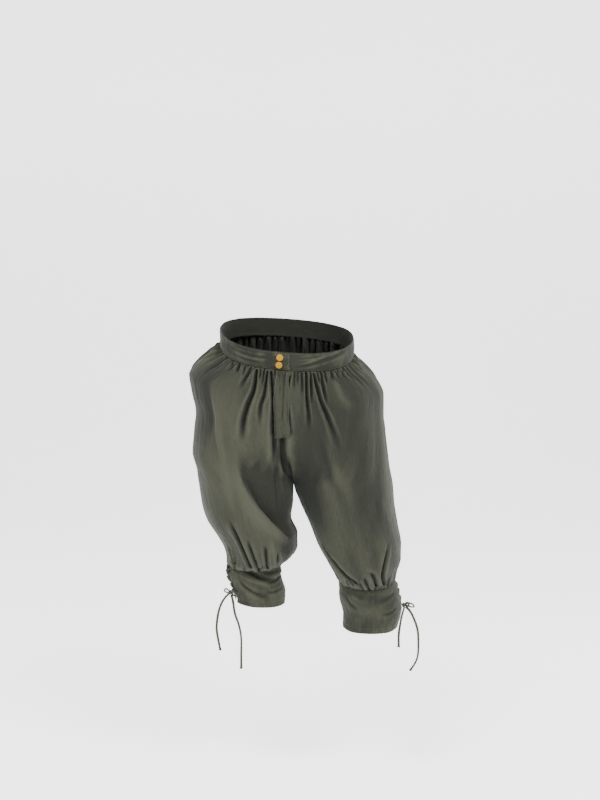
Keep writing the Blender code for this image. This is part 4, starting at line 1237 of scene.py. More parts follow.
    def meet(self, other: "LegCloth") -> None:
        """Brings both halves' edges together along the centre seams, above the fork.

        Args:
            other: the other half, which moves as far the other way.
        """
        halves = (self, other)
        for edge in (0, -1):
            edges = [half.outside[:, edge].copy() for half in halves]
            fork = [half.row <= FORK_ROW for half in halves]
            for here, there in ((0, 1), (1, 0)):
                half = halves[here]
                across = [np.interp(half.row, halves[there].row, edges[there][:, k]) for k in range(3)]
                middle = (edges[here] + np.stack(across, axis=-1)) / 2
                middle[:, 0] += half.side.sign * SEAM_GAP / 2
                strength = fork[here] * smooth(FORK_ROW, FORK_ROW - 0.3, half.row)
                step = (middle - edges[here]) * strength[:, None]
                reach = np.abs(half.around - half.around[:, edge : edge + 1 or None])
                half.outside += step[:, None] * np.exp(-((reach / 0.012) ** 2))[..., None]

    def panel(self, face: Face, thickness: float) -> Shell:
        """One panel as a thin wall.

        Args:
            face: the front or the back.
            thickness: of its cloth.

        Returns:
            The wall.
        """
        columns = slice(0, self.columns) if face is Face.FRONT else slice(self.columns, None)
        outside = self.outside[:, columns]
        normals = grid_normals(outside) * self.side.sign
        for edge in (0, -1):
            normals[edge, :, 2] = 0.0
        inside = outside - unit(normals) * thickness
        self_side = self.form.columns(self.row_grid[:, columns])[1]
        beside = (inside[..., 0] - self_side) * self.side.sign
        above = self.row_grid[:, columns] <= FORK_ROW
        short = np.clip(-SEAM_GAP - beside, 0, None)
        edge_reach = np.minimum(self.inseam[:, columns], 1.0)
        lapped = (beside + SEAM_GAP) * np.exp(-((edge_reach / 0.0015) ** 2))
        inside[..., 0] += np.where(above, short - lapped, 0) * self.side.sign
        flat = np.stack([self.aside[:, columns], -self.down[:, columns]], axis=-1)
        return Shell(outside, inside, flat, self.ridge[:, columns])


# ---- The garment's parts ---------------------------------------------------------------------
class Flat(NamedTuple):
    """The cut of one piece: width and length in metres, and its area where it isn't a rectangle."""

    width: float
    length: float
    area: float | None = None


@dataclass
class Panels:
    """The two fronts and the two backs."""

    legs: dict[Side, LegCloth]
    thickness: float = 0.0012
    flats: dict[tuple[Face, Side], Flat] = field(
        default_factory=lambda: {
            (Face.FRONT, Side.RIGHT): Flat(0.40, 0.59, 0.19),
            (Face.FRONT, Side.LEFT): Flat(0.40, 0.62, 0.20),
            (Face.BACK, Side.RIGHT): Flat(0.45, 0.62, 0.24),
            (Face.BACK, Side.LEFT): Flat(0.45, 0.65, 0.25),
        }
    )

    def build(self, finish: bpy.types.Material) -> None:
        """Makes the four panels as sheets."""
        for side, leg in self.legs.items():
            for face in Face:
                node = f"{face.value}_{side.value}"
                piece = Piece(f"cloth_{node}", Slot.CLOTH, [node])
                shell = leg.panel(face, self.thickness)
                make_sheet(piece, shell, finish, self.flats[face, side])


def make_sheet(
    piece: Piece,
    shell: Shell,
    finish: bpy.types.Material,
    flat: Flat,
) -> None:
    """Args:
        piece: the piece.
        shell: its wall.
        finish: its material.
        flat: its cut.
    """
    points, faces, flat_map, ridge = shell.arrays()
    obj = piece.make(points, faces, finish, flat_map, ridge)
    cut = flat.area or flat.width * flat.length
    LOG.info("%s: %.4f m2 of cloth, cut %.4f m2", obj.name, sheet_area(obj), cut)


@dataclass
class Waistband:
    """One long strip round the waist, folded double, whose outer end buttons over its inner end."""

    height: float = BAND_HEIGHT
    thickness: float = 0.0022
    overlap_end: float = 0.007  # x where the outer end stops
    under_end: float = -0.036  # x where the inner end stops
    proud: float = 0.0005  # how far it stands out over the panels
    turns: int = 420
    levels: int = 26
    flat: Flat = Flat(0.98, BAND_HEIGHT)
    # The lengthwise creases, in x and height across the front, in millimetres.
    creases: Sequence[Crease] = (
        Crease(
            VALLEY, 2.6, 4.0, 2.4, 0.0, 0.3,
            ((9, -10), (34, -9), (66, -2), (96, 6), (128, 12), (150, 16)),
        ),
        Crease(VALLEY, 1.6, 2.2, 1.0, 0.1, 0.4, ((8, 7), (30, 8), (62, 12), (88, 16))),
        Crease(VALLEY, 1.6, 3.0, 1.0, 0.1, 0.5, ((10, -2), (34, 0), (58, 5))),
        Crease(
            VALLEY, 2.5, 4.0, 1.2, 0.2, 0.4, ((-38, 6), (-66, 4), (-96, 4), (-124, 6), (-146, 8))
        ),
        Crease(VALLEY, 2.5, 4.0, 1.0, 0.2, 0.4, ((-60, -8), (-86, -8), (-112, -6), (-140, -2))),
        Crease(RIDGE, 4.0, 5.0, 0.6, 0.3, 0.4, ((-50, -1), (-80, -2), (-118, 0), (-142, 3))),
        Crease(VALLEY, 0.9, 0.9, 0.6, 0.0, 0.4, ((9, 12), (20, 12), (33, 12))),
        Crease(VALLEY, 0.9, 0.9, 0.6, 0.0, 0.4, ((9, 3), (20, 3), (30, 4))),
        Crease(VALLEY, 1.2, 1.2, 0.8, 0.0, 0.2, ((-19, 8.5), (-30, 8.5), (-38, 8.5))),
    )

    @staticmethod
    def point(turn: Any, height: Any, out: Any) -> Array:
        """A point on the band.

        Args:
            turn: the way round from the centre front towards the wearer's right.
            height: from its middle.
            out: from its outer face.

        Returns:
            The point.
        """
        top = PELVIS[0]
        middle, depth = (top.front + top.back) / 2, (top.back - top.front) / 2
        fuller = 1 + ROUNDNESS * np.sin(turn) ** 2
        x, y = -top.left * np.sin(turn), middle - depth * np.cos(turn) * fuller
        z = tilted(height, y - middle, top.dip, top.rise, top.lean * x)
        return np.stack([x - out * np.sin(turn), y - out * np.cos(turn) * fuller, z], axis=-1)

    def _relief(self, turn: Array, height: Array) -> Array:
        """The band's creases and softness, from its flat places."""
        flat = np.stack([-PELVIS[0].left * np.sin(turn), np.zeros_like(turn), height], axis=-1)
        relief = Relief(flat, np.broadcast_to(np.array([0.0, -1.0, 0.0]), flat.shape).copy())
        front = (np.cos(turn) > 0) * 1.0
        for crease in self.creases:
            line = through(np.array(crease.line) * MM, Relief.LINE_POINTS)
            line = np.column_stack([line[:, 0], 0 * line[:, 0], line[:, 1]])
            relief.press(crease, line, front)
        along = turn / (2 * math.pi)
        soft = Hills(61, 48).at(along * 48, height / 0.020) * 0.00045
        soft = soft + Hills(62, 110).at(along * 110, height / 0.010) * 0.00022
        # Low swells at the back, where the band takes the pull of the gathers.
        soft = soft + Hills(63, 22).at(along * 22, height / 0.035) * 0.0006 * (1 - front)
        pillow = -0.0006 * smooth(0.7, 1.0, np.abs(height) / (self.height / 2))
        return relief.height + soft + pillow

    def build(self, finish: bpy.types.Material) -> None:
        """Makes the band."""
        half_width = PELVIS[0].left
        first = -math.asin(self.overlap_end / half_width)
        last = 2 * math.pi - math.asin(self.under_end / half_width)
        heights = np.linspace(self.height / 2, -self.height / 2, self.levels)
        turn, height = np.meshgrid(np.linspace(first, last, self.turns), heights)
        under = smooth(2 * math.pi - 0.36, 2 * math.pi - 0.12, turn)
        inset = (self.thickness + 2 * SEAM_GAP) * under - self.proud * (1 - under)
        moved = self._relief(turn, height) * (1 - under)
        # Only the outer layer shows the creases in full; the inner end lies flat below it.
        outside = self.point(turn, height, moved - inset)
        inside = self.point(turn, height, moved * 0.8 - inset - self.thickness)
        length = turn * half_width
        # Low Ridge in the band's creases paints them with shade.
        ridge = np.clip(0.3 + moved / 0.003, 0, 1)
        shell = Shell(outside, inside, np.stack([height, length], -1), ridge, 0.5)
        piece = Piece("waistband_cloth", Slot.CLOTH, ["waistband"])
        make_sheet(piece, shell, finish, self.flat)


@dataclass
class Fly:
    """The strip down the centre front that covers the fly's fastening."""

    legs: dict[Side, LegCloth]
    edges: tuple[float, float] = (-0.027, 0.007)
    low_end: float = -0.217
    clear: float = 0.0006
    thickness: float = 0.0010
    columns: int = 48
    rows: int = 90
    bridge: float = 0.003  # how far to each side it takes the foremost cloth beneath
    evening: int = 12  # times that its grid is evened out
    flat: Flat = Flat(0.050, 0.17)
    creases: Sequence[Crease] = (
        Crease(VALLEY, 1.4, 3.0, 3.4, 0.0, 0.5, ((-2, -60), (-8, -120), (-14, -195))),
        Crease(VALLEY, 1.2, 2.0, 2.4, 0.0, 0.8, ((-22, -60), (-22, -105))),
        Crease(VALLEY, 1.2, 2.2, 2.4, 0.0, 0.8, ((-16, -60), (-18, -140))),
        Crease(VALLEY, 1.2, 2.0, 2.2, 0.0, 0.8, ((-9, -60), (-12, -115))),
        Crease(VALLEY, 1.2, 2.4, 2.4, 0.0, 0.6, ((4, -60), (1, -120), (3, -190))),
    )

    def grid(self) -> tuple[Array, Array]:
        """Points on the fronts under the strip, and their normals."""
        right, left = self.legs[Side.RIGHT], self.legs[Side.LEFT]
        across = np.linspace(*self.edges, self.columns)
        fronts = [leg.outside[:, : leg.columns] for leg in (right, left)]
        cloth = np.vstack([front.reshape(-1, 3) for front in fronts])
        cloth = cloth[(np.abs(cloth[:, 0]) < 0.06) & (cloth[:, 2] > self.low_end - 0.02)]
        seam = np.vstack([front[0] for front in fronts])
        seam = seam[seam[:, 0].argsort()]
        top = np.interp(across, seam[:, 0], seam[:, 2])
        lines = []
        for share in np.linspace(0, 1, self.rows):
            level = top + (self.low_end - top) * share
            close = cloth[np.abs(cloth[:, 2] - level.mean()) < 2 * self.bridge]
            beneath = np.abs(close[:, 0] - across[:, None]) < self.bridge
            foremost = np.where(beneath, close[:, 1], np.inf).min(axis=1)
            lines.append(np.column_stack([across, foremost, level]))
        grid = np.array(lines)
        # The strip bridges the seam's groove and the gathers beneath it.
        for _ in range(self.evening):
            grid[:, 1:-1, 1] = (grid[:, :-2, 1] + 2 * grid[:, 1:-1, 1] + grid[:, 2:, 1]) / 4
            grid[1:-1, :, 1] = (grid[:-2, :, 1] + 2 * grid[1:-1, :, 1] + grid[2:, :, 1]) / 4
        normals = grid_normals(grid)
        normals *= -np.sign(normals[..., 1:2])
        normals[0, :, 2] = 0
        relief = Relief(grid, normals)
        for crease in self.creases:
            relief.press(crease, relief.follow(crease.line, Face.FRONT))
        # Its folds stand out from the fronts, and never go back through them.
        lift = relief.height - relief.height.min(axis=1, keepdims=True)
        held = smooth(0, 0.004, np.abs(grid[..., 2] - grid[:1, :, 2]))
        return grid + normals * (lift * (0.5 + 0.5 * held))[..., None], normals

    def build(self, finish: bpy.types.Material) -> None:
        """Makes the strip."""
        grid, normals = self.grid()
        lift = self.clear + 0.0004 * smooth(0.8, 1.0, np.linspace(0, 1, len(grid)))[:, None, None]
        inside = grid + normals * lift
        outside = inside + normals * self.thickness
        step = np.linalg.norm(np.diff(grid, axis=0), axis=-1)
        down = np.vstack([np.zeros((1, self.columns)), np.cumsum(step, axis=0)])
        shell = Shell(outside, inside, np.stack([grid[..., 0], -down], -1), np.full(down.shape, 0.45))
        piece = Piece("fly_strip", Slot.CLOTH, ["fly_placket"])
        make_sheet(piece, shell, finish, self.flat)


@dataclass
class PocketBags:
    """A bag behind each side mouth, folded back to the mouth's rear edge."""

    legs: dict[Side, LegCloth]
    lining: float = 0.0010
    clearance: float = 0.0070
    reach: float = 0.135
    depth: float = 0.030
    top: float = 1.0
    bag_end: float = 8.0
    sink: float = 0.010  # how much further in its lower end hangs
    flat: Flat = Flat(0.21, 0.26, 0.040)

    def build(self, finish: bpy.types.Material) -> None:
        """Makes both bags."""
        way, row = np.meshgrid(np.linspace(0, 1, 34), np.linspace(self.top, self.bag_end, 60))
        rounded = np.sin((1 - np.abs(2 * way - 1)) * math.pi / 2)
        narrow = 0.62 + 0.38 * smooth(self.top, self.top + 2.5, row)
        share = SIDE_SEAM - 0.004 - self.reach * narrow * rounded
        for side, leg in self.legs.items():
            mouth = np.clip((row - leg.pocket_top) / (leg.pocket_bottom - leg.pocket_top), 0, 1)
            gape = leg.pocket_gape * np.sin(math.pi * mouth) ** 0.8
            least = 4 * SEAM_GAP
            full = np.maximum(self.depth * (1 - smooth(leg.pocket_bottom, self.bag_end, row)), least)
            at_mouth = np.maximum(gape - self.clearance - self.lining, least)
            towards_mouth = smooth(0.62, 1.0, way)
            depth = smooth(0.40, 0.60, way) * ((1 - towards_mouth) * full + towards_mouth * at_mouth)
            close = smooth(0.0, 0.16, way)
            clear = 0.0024 * (1 - close) + self.clearance * close + self.sink * smooth(4.5, 7.0, row)
            normals = leg.form.normals(share, row)
            inside = leg.form.points(share, row) - normals * (clear + self.lining + depth)[..., None]
            away = grid_normals(inside)
            away *= np.sign((away[:, 1] * normals[:, 1]).sum())
            rumple = Hills(71, 16).at(way * 9, row * 1.4) * 0.0010 * rounded
            inside = inside + away * rumple[..., None]
            outside = inside + away * self.lining
            shell = Shell(outside, inside, np.stack([way * 0.2, -row * 0.03], -1), 0.3 + 0 * way)
            piece = Piece(
                f"pocket_lining_{side.value}",
                Slot.CLOTH,
                [f"pocket_bag_{side.value}_{leaf}" for leaf in ("outer", "inner")],
            )
            make_sheet(piece, shell, finish, self.flat)


CUFF_CREASES = {
    Side.RIGHT: (
        Crease(
            VALLEY, 3.5, 5, 4.0, 0.1, 0.4,
            ((-122, -533), (-96, -546), (-66, -562), (-36, -570), (-18, -566)),
        ),
        Crease(RIDGE, 4.0, 6, 2.5, 0.2, 0.4, ((-118, -552), (-92, -566), (-60, -578), (-30, -584))),
        Crease(
            VALLEY, 3.0, 5, 3.2, 0.2, 0.4, ((-116, -568), (-96, -590), (-66, -606), (-40, -612))
        ),
        Crease(VALLEY, 2.5, 4, 2.6, 0.1, 0.5, ((-12, -562), (-30, -574), (-56, -578))),
        Crease(RIDGE, 5.0, 6, 3.0, 0.2, 0.5, ((-8, -552), (-26, -560), (-50, -566))),
        Crease(VALLEY, 2.5, 4, 2.2, 0.2, 0.5, ((-10, -590), (-30, -600), (-58, -600))),
    ),
    Side.LEFT: (
        Crease(VALLEY, 3.0, 5, 2.2, 0.2, 0.5, ((140, -606), (154, -628), (172, -640))),
        Crease(VALLEY, 3.0, 5, 1.8, 0.2, 0.5, ((258, -600), (238, -612), (214, -616))),
        Crease(RIDGE, 4.0, 7, 1.8, 0.2, 0.5, ((150, -600), (176, -616), (206, -618))),
        Crease(VALLEY, 2.5, 4, 1.8, 0.2, 0.5, ((264, -636), (244, -648), (220, -650))),
    ),
}
CUFF_BACK_CREASES = {
    Side.RIGHT: (
        Crease(
            VALLEY, 3.0, 5, 3.0, 0.2, 0.4, ((-116, -560), (-86, -570), (-52, -566), (-22, -560))
        ),
        Crease(VALLEY, 3.0, 5, 2.6, 0.2, 0.4, ((-112, -590), (-84, -600), (-50, -598))),
    ),
    Side.LEFT: (
        Crease(VALLEY, 3.0, 5, 2.6, 0.2, 0.4, ((250, -612), (216, -624), (180, -620), (150, -610))),
        Crease(VALLEY, 3.0, 5, 2.2, 0.2, 0.4, ((246, -646), (210, -656), (176, -652))),
    ),
}
# Where each cuff's slit is, as a share of the way round.
SLIT_AT = {Side.LEFT: 0.535, Side.RIGHT: 0.445}
SLIT_WIDTH = 0.016


class CuffForm:
    """One cuff without its creases, as a function of the way round and down."""

    def __init__(self, side: Side) -> None:
        """Reads the cuff's table."""
        self.side = side
        self.table = np.array(CUFFS[side])
        self.slopes = np.gradient(self.table, axis=0)
        self.length = self.table[0, 0] - self.table[-1, 0]
        shares = np.linspace(0, 1, 65)
        points = self.point(shares, np.full_like(shares, 0.5))
        self.girth = float(np.linalg.norm(np.diff(points, axis=0), axis=1).sum())

    def point(self, share: Any, down: Any, out: Any = 0.0) -> Array:
        """A point of the cuff.

        Args:
            share: the way round, as on the leg.
            down: 0 at the gathers to 1 at the hem, or less than 0 straight up from the gathers.
            out: from its outer face.

        Returns:
            The point.
        """
        place = np.asarray(down, float) * (len(self.table) - 1)
        z, inner, outer, front, back, dip, lean = read_table(self.table, self.slopes, place)
        turn = (np.asarray(share, float) - 0.5) * 2 * math.pi
        middle = (front + back) / 2
        fuller = 1 + ROUNDNESS * np.cos(turn) ** 2
        x = (inner + outer) / 2 + (outer - inner) / 2 * np.cos(turn)
        y = middle + (back - front) / 2 * np.sin(turn) * fuller
        z = tilted(z, y - middle, dip, 0.0, lean * (x - inner)) + np.clip(-down, 0, None) * self.length
        beyond = out * self.side.sign * np.cos(turn)
        return np.stack([x + beyond, y + out * np.sin(turn) * fuller, z], axis=-1)

    def at_slit(self, across: Any, down: Any, out: Any) -> Array:
        """A point near the slit, across from its middle towards the back, in metres."""
        return self.point(SLIT_AT[self.side] + across / self.girth, down, out)


@dataclass
class Cuffs:
    """The two knee cuffs, each one strip round the calf, open down its laced slit."""

    thickness: float = 0.0020
    proud: float = 0.0004
    over: float = 0.0018  # how far up it reaches over the gathers
    hem: float = 0.012  # height of the turned-up hem
    columns: int = 270
    levels: int = 60
    flats: dict[Side, Flat] = field(
        default_factory=lambda: {Side.RIGHT: Flat(0.40, 0.095), Side.LEFT: Flat(0.42, 0.115)}
    )
    forms: dict[Side, CuffForm] = field(init=False)
    outsides: dict[Side, Array] = field(default_factory=dict, init=False)

    def __post_init__(self) -> None:
        """Makes the two forms."""
        self.forms = {side: CuffForm(side) for side in Side}

    def build(self, finish: bpy.types.Material) -> None:
        """Makes both cuffs."""
        for side, form in self.forms.items():
            half_slit = SLIT_WIDTH / 2 / form.girth
            start = SLIT_AT[side] + half_slit
            shares = np.linspace(start, start + 1 - 2 * half_slit, self.columns)
            share, down = np.meshgrid(shares, np.linspace(-self.over / form.length, 1, self.levels))
            base = form.point(share, down)
            normal = unit(form.point(share, down, 0.01) - base)
            relief = Relief(base, normal)
            for face, lines in ((Face.FRONT, CUFF_CREASES), (Face.BACK, CUFF_BACK_CREASES)):
                for crease in lines[side]:
                    relief.press(crease, relief.follow(crease.line, face))
            relief.height += self._softness(form, share, down)
            relief.height += self.proud
            outside = relief.points()
            self.outsides[side] = outside
            inside = outside - normal * self.thickness
            round_cuff = (share - start) * form.girth
            length = np.linalg.norm(base[-1] - base[0], axis=-1)[None] * down
            # Low Ridge in the cuff's creases paints them with shade.
            ridge = np.clip(0.35 + relief.height / 0.006, 0, 1)
            shell = Shell(outside, inside, np.stack([round_cuff, -length], -1), ridge, 0.5)
            piece = Piece(f"knee_cuff_{side.value}", Slot.CLOTH, [f"cuff_{side.value}"])
            make_sheet(piece, shell, finish, self.flats[side])

    def _softness(self, form: CuffForm, share: Array, down: Array) -> Array:
        """Low swells, the hem's step, fine crinkles and the pull of the lace beside the slit."""
        length = form.length
        seed = 81 if form.side is Side.LEFT else 83
        soft = Hills(seed, 14).at(share * 14, down * length / 0.030) * 0.0011
        soft = soft + Hills(seed + 1, 60).at(share * 60, down * length / 0.012) * 0.00030
        soft = soft + Hills(seed + 2, 130).at(share * 130, down * length / 0.020) * 0.00018
        over_hem = (1 - down) * length
        groove = -0.0005 * np.exp(-(((over_hem - self.hem) / 0.0012) ** 2))
        fold = 0.0004 * (1 - smooth(self.hem - 0.001, self.hem + 0.001, over_hem))
        from_slit = np.abs(share - SLIT_AT[form.side] - (share > SLIT_AT[form.side] + 0.5)) * form.girth
        pulls = np.cos(down * 2 * math.pi / 0.165) * np.exp(-((from_slit - 0.008) / 0.014).clip(0))
        top = -0.0004 * np.exp(-((((down * length) + self.over) / 0.0012) ** 2))
        return soft * smooth(0, 0.06, down) + groove + fold + 0.0008 * pulls + top


# ---- Laces -----------------------------------------------------------------------------------
LACE_RADIUS = 0.0012
LOOP_CORD_RADIUS = 0.0009
LOOP_REACH = 0.0056
LOOP_LIFT = LOOP_CORD_RADIUS + 0.0006
LOOPS_A_SIDE = 4
LOOP_FIRST = 0.12
LOOP_STEP = {Side.LEFT: 0.155, Side.RIGHT: 0.175}
LACE_CLEARANCE = 0.0008
KNOT_OUT = 0.0105
KNOT_DOWN = {Side.LEFT: 0.62, Side.RIGHT: 0.69}
KNOT_ACROSS = {Side.LEFT: 0.0, Side.RIGHT: -0.004}
# Offsets from the knot's middle to the points that each bow loop and each free end follows.
BOW_ROUTES = {
    (Side.RIGHT, "a"): [(-0.004, -0.002, 0.003), (-0.009, -0.003, 0.008), (-0.014, -0.003, 0.008),
                        (-0.015, -0.003, 0.003), (-0.010, -0.003, 0.000), (-0.0052, -0.001, -0.0008)],
    (Side.RIGHT, "b"): [(0.002, -0.0045, 0.002), (0.005, -0.011, 0.004), (0.010, -0.016, 0.000),
                        (0.012, -0.016, -0.006), (0.007, -0.011, -0.006), (0.0025, -0.0045, -0.002)],
    (Side.LEFT, "a"): [(0.0045, -0.002, 0.003), (0.012, -0.006, 0.006), (0.021, -0.008, 0.003),
                       (0.024, -0.008, -0.003), (0.015, -0.006, -0.003), (0.0056, -0.001, 0.0000)],
    (Side.LEFT, "b"): [(0.003, 0.0038, 0.002), (0.008, 0.012, 0.004), (0.013, 0.020, 0.000),
                       (0.012, 0.021, -0.007), (0.008, 0.013, -0.006), (0.0035, 0.0042, -0.002)],
}
TIE_ROUTES = {
    (Side.RIGHT, "a"): [(-0.004, -0.0035, -0.0035), (-0.012, -0.008, -0.010), (-0.022, -0.012, -0.025),
                        (-0.030, -0.012, -0.050), (-0.034, -0.012, -0.085), (-0.030, -0.012, -0.115),
                        (-0.025, -0.012, -0.140)],
    (Side.RIGHT, "b"): [(0.001, -0.0015, -0.0055), (0.005, -0.006, -0.020), (0.010, -0.010, -0.050),
                        (0.020, -0.012, -0.080), (0.025, -0.012, -0.110), (0.025, -0.012, -0.150),
                        (0.025, -0.012, -0.185)],
    (Side.LEFT, "a"): [(0.0045, 0.0015, -0.0048), (0.015, -0.003, -0.015), (0.025, -0.008, -0.035),
                       (0.033, -0.010, -0.060), (0.035, -0.010, -0.090), (0.034, -0.010, -0.120),
                       (0.028, -0.010, -0.140), (0.015, -0.010, -0.160)],
    (Side.LEFT, "b"): [(0.001, 0.0015, -0.0055), (-0.004, 0.004, -0.025), (-0.008, 0.005, -0.045),
                       (-0.012, 0.005, -0.075), (-0.012, 0.004, -0.105)],
}


@dataclass(frozen=True)
class Tape:
    """A flat woven tape or a round cord, swept along a line."""

    width: float
    thickness: float
    sides: int = 12

    def sweep(
        self, line: Array, flat_out: Array, twist: Array | float = 0.0
    ) -> tuple[Array, list, Array]:
        """Points, faces and flat places of the tape.

        Args:
            line: the points it follows.
            flat_out: the direction that its flat side faces at each point, roughly.
            twist: how far it is turned about its line, in radians.

        Returns:
            The arrays for Piece.make.
        """
        count = len(line)
        along = unit(np.gradient(line, axis=0))
        flat_out = np.broadcast_to(flat_out, line.shape)
        across = unit(np.cross(along, flat_out))
        face = np.cross(across, along)
        twist = np.broadcast_to(twist, (count,))[:, None]
        wide = across * np.cos(twist) + face * np.sin(twist)
        thin = face * np.cos(twist) - across * np.sin(twist)
        angle = np.linspace(0, 2 * math.pi, self.sides, endpoint=False)
        # A squared-off circle, so that a flat tape has flat sides.
        power = 0.55 if self.width > 1.5 * self.thickness else 1.0
        c = np.sign(np.cos(angle)) * np.abs(np.cos(angle)) ** power * self.width / 2
        s = np.sign(np.sin(angle)) * np.abs(np.sin(angle)) ** power * self.thickness / 2
        rings = line[:, None] + wide[:, None] * c[None, :, None] + thin[:, None] * s[None, :, None]
        length = np.concatenate([[0], np.cumsum(np.linalg.norm(np.diff(line, axis=0), axis=1))])
        places = np.stack(np.broadcast_arrays(c[None], length[:, None]), axis=-1)
        number = np.arange(count * self.sides).reshape(count, self.sides)
        faces = []
        for low, high in zip(number, number[1:]):
            for k in range(self.sides):
                after = (k + 1) % self.sides
                faces.append([low[k], low[after], high[after], high[k]])
        faces.append(number[0][::-1].tolist())
        faces.append(number[-1].tolist())
        return rings.reshape(-1, 3), faces, places.reshape(-1, 2)


@dataclass
class Lacing:
    """The loops beside each slit, the lace through them, its knot, bow and two hanging ends."""

    cuffs: Cuffs
    lace: Tape = Tape(0.0042, 0.0030, 12)
    bow: Tape = Tape(0.0050, 0.0036, 12)
    loop_cord: Tape = Tape(0.0022, 0.0020, 10)
    tie: Tape = Tape(0.0060, 0.0018, 14)
    tie_points: int = 90

    def _loops(self, side: Side, finish: bpy.types.Material) -> None:
        """On each edge of the slit, one cord sewn down in a row of loops."""
        form = self.cuffs.forms[side]
        half = LOOP_STEP[side] / 2
        for edge, way in {"front": -1.0, "back": 1.0}.items():
            points = []
            for number in range(LOOPS_A_SIDE):
                middle = LOOP_FIRST + number * LOOP_STEP[side]
                for step, reach in ((-half, -0.35), (-half / 2, 0.62), (0.0, 1.0), (half / 2, 0.62)):
                    across = way * (SLIT_WIDTH / 2 - LOOP_REACH * reach)
                    points.append(form.at_slit(across, middle + step, LOOP_LIFT))
            end = LOOP_FIRST + (LOOPS_A_SIDE - 1) * LOOP_STEP[side] + half
            points.append(form.at_slit(way * (SLIT_WIDTH / 2 + 0.35 * LOOP_REACH), end, LOOP_LIFT))
            line = through(points, 130)
            outwards = form.at_slit(0.0, 0.5, 0.01) - form.at_slit(0.0, 0.5, 0.0)
            arrays = self.loop_cord.sweep(line, unit(outwards))
            name = f"loops_{side.value}_{edge}"
            Piece(f"sewn_{name}", Slot.LACE, [name]).make(arrays[0], arrays[1], finish, arrays[2])

    def _route(self, side: Side) -> Array:
        """The lace from the knot up one way through the loops, across, and down the other."""
        form = self.cuffs.forms[side]
        apex = SLIT_WIDTH / 2 - LOOP_REACH
        turn_radius = LOOP_CORD_RADIUS + LACE_RADIUS + LACE_CLEARANCE
        strands = []
        for first, lift in ((-1.0, 0.0018), (1.0, -0.0018)):
            strand = []
            for number in range(LOOPS_A_SIDE):
                middle = LOOP_FIRST + number * LOOP_STEP[side]
                way = first if number % 2 == 0 else -first
                for angle in (-90, -45, 0, 45, 90):
                    aside = turn_radius * math.cos(math.radians(angle))
                    rise = turn_radius * math.sin(math.radians(angle))
                    down = middle + angle / 90 * 0.0016 / form.length
                    strand.append(form.at_slit(way * (apex + aside), down, LOOP_LIFT + rise))
                if number < LOOPS_A_SIDE - 1:
                    strand.append(form.at_slit(0.0, middle + LOOP_STEP[side] / 2, LOOP_LIFT + lift))
            strands.append(strand)
        return through(strands[0][::-1] + strands[1], 300)

    def _knot(self, side: Side, centre: Array, finish: bpy.types.Material) -> None:
        """The tied knot: the lace wound through itself in a tight three-way turn."""
        t = np.linspace(0, 2 * math.pi, 97)[:-1]
        spread = 2.0 + np.cos(3 * t)
        line = np.stack([spread * np.cos(2 * t), 0.9 * np.sin(3 * t), spread * np.sin(2 * t)], axis=-1)
        line = line * 0.0015 + centre
        closed = np.vstack([line, line[:1]])
        points, faces, places = Tape(0.0036, 0.0028, 12).sweep(closed, unit(closed - centre + 1e-9))
        piece = Piece(f"tied_knot_{side.value}", Slot.LACE, [f"knot_{side.value}"])
        piece.make(points, faces, finish, places)

    def _bow(self, side: Side, part: str, knot: Array, finish: bpy.types.Material) -> None:
        """One loop of the bow."""
        line = through([knot + np.array(p) for p in BOW_ROUTES[side, part]], 60)
        inwards = unit(line - line.mean(axis=0) + 1e-9)
        arrays = self.bow.sweep(line, inwards)
        name = f"bow_{side.value}_{part}"
        Piece(f"lace_{name}", Slot.LACE, [name]).make(arrays[0], arrays[1], finish, arrays[2])

    def _tie(self, side: Side, part: str, knot: Array, finish: bpy.types.Material) -> None:
        """One hanging end, which turns slowly about its line, with a cut, fraying tip."""
        route = [knot + np.array(p) for p in TIE_ROUTES[side, part]]
        line = through(route, self.tie_points)
        start = {"a": -0.35, "b": 0.25}[part]
        twist = start + 0.45 * np.sin(np.linspace(0, 4.4, self.tie_points) + side.sign)
        points, faces, places = self.tie.sweep(line, np.array([0.0, -1.0, 0.15]), twist)
        rings = points.reshape(self.tie_points, self.tie.sides, 3)
        # The tip is cut on a slant and its corners spread a little where the weave has opened.
        tip = rings[-5:] - line[-5:, None]
        rings[-5:] = line[-5:, None] + tip * np.linspace(1.0, 1.28, 5)[:, None, None]
        along = unit(line[-1] - line[-2])
        rings[-1] += along * np.linspace(-0.0016, 0.0016, self.tie.sides)[:, None]
        name = f"tie_{side.value}_{part}"
        piece = Piece(f"lace_{name}", Slot.LACE, [name])
        obj = piece.make(rings.reshape(-1, 3), faces, finish, places)
        length = float(np.linalg.norm(np.diff(line, axis=0), axis=1).sum())
        LOG.info("%s: %.3f m", name, length)

    def build(self, finish: bpy.types.Material) -> None:
        """Makes the lacing of both knees."""
        for side, form in self.cuffs.forms.items():
            self._loops(side, finish)
            line = self._route(side)
            outwards = unit(form.at_slit(0.0, 0.5, 0.01) - form.at_slit(0.0, 0.5, 0.0))
            arrays = self.lace.sweep(line, outwards)
            piece = Piece(f"drawn_lace_{side.value}", Slot.LACE, [f"lace_{side.value}"])
            piece.make(arrays[0], arrays[1], finish, arrays[2])
            knot = form.at_slit(KNOT_ACROSS[side], KNOT_DOWN[side], KNOT_OUT)
            self._knot(side, knot, finish)
            for part in ("a", "b"):
                self._bow(side, part, knot, finish)
                self._tie(side, part, knot, finish)


